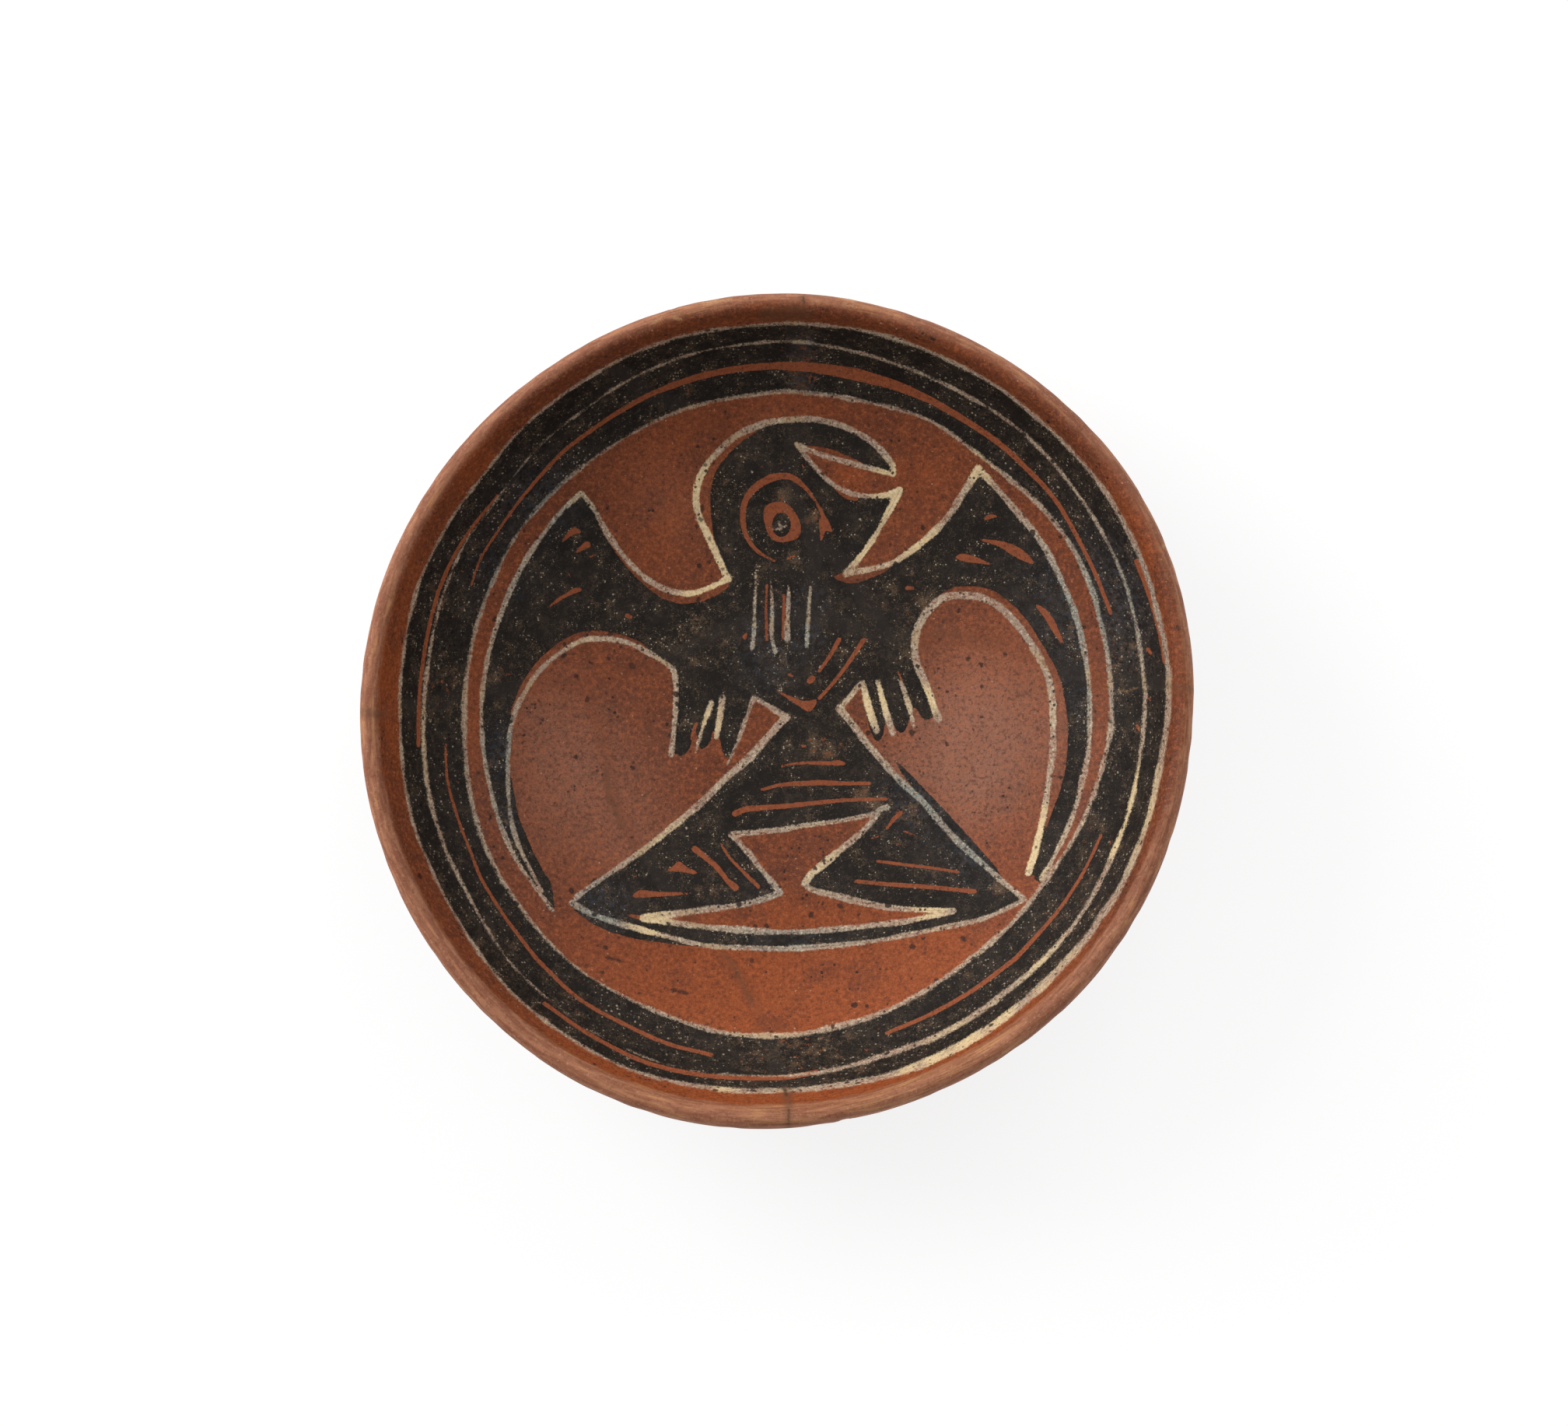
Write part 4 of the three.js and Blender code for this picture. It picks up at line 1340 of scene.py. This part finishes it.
def outside_clay(s):
    """The outside: dull red slip burnished round the wall, clouded by the fire, worn at the foot."""
    foot = s.add(s.field("foot"), s.times(s.centred(s.noise(7, 4.0)), 5.0))
    colour = s.mixed(s.patches(0.35, 0.65, 34, 3.0), tone(112, 62, 42), tone(136, 78, 52))
    colour = s.laid(colour, s.step(s.brushed, 0.50, 0.66), 0.5, (88, 50, 36))
    colour = s.laid(colour, s.step(s.brushed, 0.44, 0.30), 0.4, (158, 100, 70))
    cloud = s.add(s.noise(46, 3.0), s.times(s.centred(s.noise(9, 3.0)), 0.14))
    colour = s.laid(colour, s.step(cloud, 0.53, 0.64), 0.78, (54, 40, 34))
    bare = s.patches(0.58, 0.74, 12, 6.0, 0.75)
    colour = s.laid(colour, bare, 0.6, (160, 108, 78))
    ring = s.step(s.maths("ABSOLUTE", foot), 4.0, 0.5)
    colour = s.laid(colour, ring, 0.65, (176, 128, 96))
    scratches = s.patches(0.56, 0.66, 0.8, 4.0, 0.8)
    colour = s.laid(colour, s.times(scratches, s.step(foot, -2, 3)), 0.5, (182, 140, 108))
    specks = s.high(s.grains(1.8, 0.36, 0.5), s.grains(5.0, 0.8, 0.4))
    return s.laid(colour, specks, 0.7, (40, 29, 25))


def broken_clay(s):
    """The inside of the wall where it broke: coarse, blotched and full of sand."""
    colour = s.mixed(s.patches(0.4, 0.62, 3.0, 4.0, 0.6), tone(150, 102, 76), tone(112, 86, 72))
    sand = s.high(s.grains(0.9, 0.36, 0.5), s.grains(2.2, 0.8, 0.4))
    return s.laid(colour, sand, 0.7, (196, 178, 154))


# (field, roughness of its edge, where the edge starts and ends, strength, shade)
MARKS = (
    ("stain", 1.2, (-0.2, 0.3), 0.75, (32, 24, 20)),
    ("smear", 3.0, (-0.9, 1.2), 0.5, (92, 64, 45)),
    ("scuff", 3.0, (-0.3, 0.9), 0.55, (188, 150, 106)),
)
SPECULAR = 0.16
CLAY_BUMP, FILLER_BUMP = 0.8, 0.35


class PlateShader(Shader):
    """A shader that also has the masks shared by the layers of the plate's materials."""

    def __init__(self, name):
        super().__init__(name)
        self.under, self.broken = self.field("under"), self.field("broken")
        self.crumble = self.centred(self.noise(0.6, 4.0, 0.75))
        self.patchy = self.centred(self.noise(7, 3.0))
        wobble = self.centred(self.noise(3.2, 2.0))
        self.shake = self.add(self.times(self.crumble, 0.9), self.times(wobble, 0.5))
        self.brushed = self.streaks(0.7)
        self.dark = self.step(self.add(self.field("black"), self.shake), -0.08, 0.08)
        self.line = self.rubbed("cream", 2.6, 2.2, 0.55, 0.34)
        self.ring_line = self.rubbed("rings", 3.0, 2.4, 0.6, 0.45)
        lip_edge = self.times(self.centred(self.noise(5, 5.0, 0.7)), 4.0)
        self.on_lip = self.step(self.add(self.field("lip"), lip_edge), -1.5, 1.5)
        seam_edge = self.add(self.field("seam"), self.add(self.times(self.patchy, 1.6), self.crumble))
        beside_seam = self.times(self.step(seam_edge, 1.5, 0.1), self.less(self.under))
        self.retouch = self.times(beside_seam, 0.5)

    def rubbed(self, name, crumbled, patched, share, end):
        """Where a pale line is left, with an edge that is rubbed away unevenly."""
        edge = self.add(self.times(self.crumble, crumbled), self.times(self.patchy, patched))
        return self.step(self.add(self.field(name), self.times(edge, share)), -0.1, end)


def ground(s):
    """What lies under the dark and pale paint: the red slip, the outside and the rubbed lip."""
    colour = s.mixed(s.under, red_slip(s), outside_clay(s))
    colour = s.laid(colour, s.retouch, 0.5, (112, 62, 42))
    colour = s.mixed(s.times(s.on_lip, 0.9), colour, rubbed_lip(s))
    bare = s.times(s.step(s.streaks(2.2), 0.50, 0.60), s.low(s.field("bare"), 1.0))
    return s.laid(colour, s.times(bare, s.on_lip), 0.55, (188, 140, 90))


def dark_paint(s, colour):
    """The black slip, and the thin red strokes over it."""
    colour = s.mixed(s.dark, colour, s.mixed(s.retouch, black_slip(s), tone(47, 41, 37)))
    stroke = s.step(s.add(s.field("red"), s.times(s.shake, 0.7)), -0.06, 0.08)
    worn_through = s.times(s.patches(0.53, 0.62, 1.1, 4.0, 0.75), 0.45)
    kept = s.maths("SUBTRACT", 0.92, worn_through)
    return s.mixed(s.times(stroke, kept), colour, red_line(s))


def pale_paint(s, colour):
    """The cream lines of the figure and the three rings."""
    thick = cream_thickness(s)
    cover = cream_cover(s, thick)
    cream = s.mixed(s.retouch, cream_slip(s, thick), tone(176, 148, 112))
    colour = s.mixed(s.times(s.line, cover), colour, cream)
    return s.mixed(s.times(s.ring_line, s.times(cover, 0.9)), colour, cream)


def marked(s, colour):
    """Stains, smears, scuffs and pits over the paint."""
    for name, rough, edge, strength, shade in MARKS:
        mark = s.step(s.add(s.field(name), s.times(s.crumble, rough)), *edge)
        colour = s.laid(colour, mark, strength, shade)
    return s.laid(colour, s.step(s.field("pit"), 0.15, 0.6), 0.75, (28, 21, 18))


def bare_filler(s, colour):
    """The untoned filler on the underside and where it meets a break."""
    filler = s.mixed(s.noise(1.5, 4.0, 0.7), tone(112, 80, 60), tone(134, 98, 76))
    return s.mixed(s.times(s.high(s.under, s.broken), 0.85), colour, filler)


def dullness(s):
    """The roughness: burnished slips shine a little, and lines, lip and retouching are duller."""
    shine = s.noise(2.2, 4.0, 0.7)
    value = s.between(s.dark, s.between(shine, 0.44, 0.64), s.between(shine, 0.5, 0.72))
    value = s.between(s.line, value, 0.68)
    value = s.between(s.high(s.on_lip, s.under), value, 0.58)
    return s.between(s.high(s.retouch, s.broken), value, 0.8)


def grain(s):
    """The height of the fine grain, which is lumpiest in the dark band."""
    height = s.add(s.times(s.noise(0.5, 4.0, 0.75), 0.15), s.times(s.noise(3.0, 3.0, 0.6), 0.16))
    height = s.add(height, s.times(s.times(s.dark, s.noise(0.8, 4.0, 0.8)), 0.24))
    lumpy = s.times(s.step(s.field("band"), 0.0, 0.6), s.noise(1.5, 3.0, 0.6))
    height = s.add(height, s.times(lumpy, 0.5))
    return s.add(height, s.times(s.high(s.line, s.ring_line), 0.05))


def plate_material(name, is_filler):
    """The clay with its slips, or the filler that a restorer toned to match it."""
    s = PlateShader(name)
    colour = marked(s, pale_paint(s, dark_paint(s, ground(s))))
    colour = bare_filler(s, colour) if is_filler else s.mixed(s.broken, colour, broken_clay(s))
    surface = s.node("ShaderNodeBsdfPrincipled")
    s.feed(surface.inputs["Base Color"], colour)
    s.feed(surface.inputs["Roughness"], dullness(s))
    surface.inputs["Specular IOR Level"].default_value = SPECULAR
    bump = s.node("ShaderNodeBump")
    bump.inputs["Strength"].default_value = FILLER_BUMP if is_filler else CLAY_BUMP
    bump.inputs["Distance"].default_value = METRES
    s.feed(bump.inputs["Height"], grain(s))
    s.feed(surface.inputs["Normal"], bump.outputs[0])
    return s.ended_in(surface)


FLOOR_HALF = 6.0
FLOOR_DROP = 0.0002
FLOOR_ROUGHNESS = 0.9
# The floor gives off some light of its own, so that it shows nearly white with a faint shadow.
FLOOR_GREY = 0.2
FLOOR_GLOW = 0.8
WORLD_STRENGTH = 0.58
LAMP_AWAY = 2.0
LAMP_SIDE = 1.2
# (name, bearing in degrees, elevation in degrees, watts)
LAMPS = (("key_light", 150, 28, 36.0), ("fill_light", 60, 28, 13.6))


def floor_material():
    s = Shader("pale_floor")
    surface = s.node("ShaderNodeBsdfPrincipled")
    surface.inputs["Base Color"].default_value = (FLOOR_GREY, FLOOR_GREY, FLOOR_GREY, 1)
    surface.inputs["Roughness"].default_value = FLOOR_ROUGHNESS
    surface.inputs["Emission Color"].default_value = (1, 1, 1, 1)
    surface.inputs["Emission Strength"].default_value = FLOOR_GLOW
    return s.ended_in(surface)


def make_floor():
    mesh = bpy.data.meshes.new("floor")
    corners = [(FLOOR_HALF * x, FLOOR_HALF * y, 0) for x, y in ((-1, -1), (1, -1), (1, 1), (-1, 1))]
    mesh.from_pydata(corners, [], [(0, 1, 2, 3)])
    mesh.materials.append(floor_material())
    thing = new_object("floor", mesh)
    thing.location.z = -FLOOR_DROP


def soft_light(name, bearing, elevation, watts):
    data = bpy.data.lights.new(name, "AREA")
    data.shape = "SQUARE"
    data.size = LAMP_SIDE
    data.energy = watts
    thing = new_object(name, data)
    round_it, up = math.radians(bearing), math.radians(elevation)
    level = math.cos(up)
    toward = Vector((math.cos(round_it) * level, math.sin(round_it) * level, math.sin(up)))
    thing.location = toward * LAMP_AWAY
    thing.rotation_mode = "QUATERNION"
    thing.rotation_quaternion = (-toward).to_track_quat("-Z", "Y")


def make_lights():
    for lamp in LAMPS:
        soft_light(*lamp)
    world = bpy.data.worlds.new("studio")
    bpy.context.scene.world = world
    world.use_nodes = True
    backdrop = world.node_tree.nodes["Background"]
    backdrop.inputs["Color"].default_value = (1, 1, 1, 1)
    backdrop.inputs["Strength"].default_value = WORLD_STRENGTH


def make_camera():
    place, right, up, forward = camera_axes()
    data = bpy.data.cameras.new("camera")
    data.lens, data.sensor_width, data.sensor_fit = LENS, SENSOR, "HORIZONTAL"
    data.clip_start, data.clip_end = CLIP
    thing = new_object("camera", data)
    axes = np.stack((right, up, -forward), axis=1)
    rows = [(*axis, spot * METRES) for axis, spot in zip(axes, place)]
    thing.matrix_world = Matrix([*rows, (0, 0, 0, 1)])
    bpy.context.scene.camera = thing


build_plate(plate_material("slipped clay", False), plate_material("toned filler", True))
make_floor()
make_lights()
make_camera()
bpy.context.scene.view_settings.view_transform = "Standard"
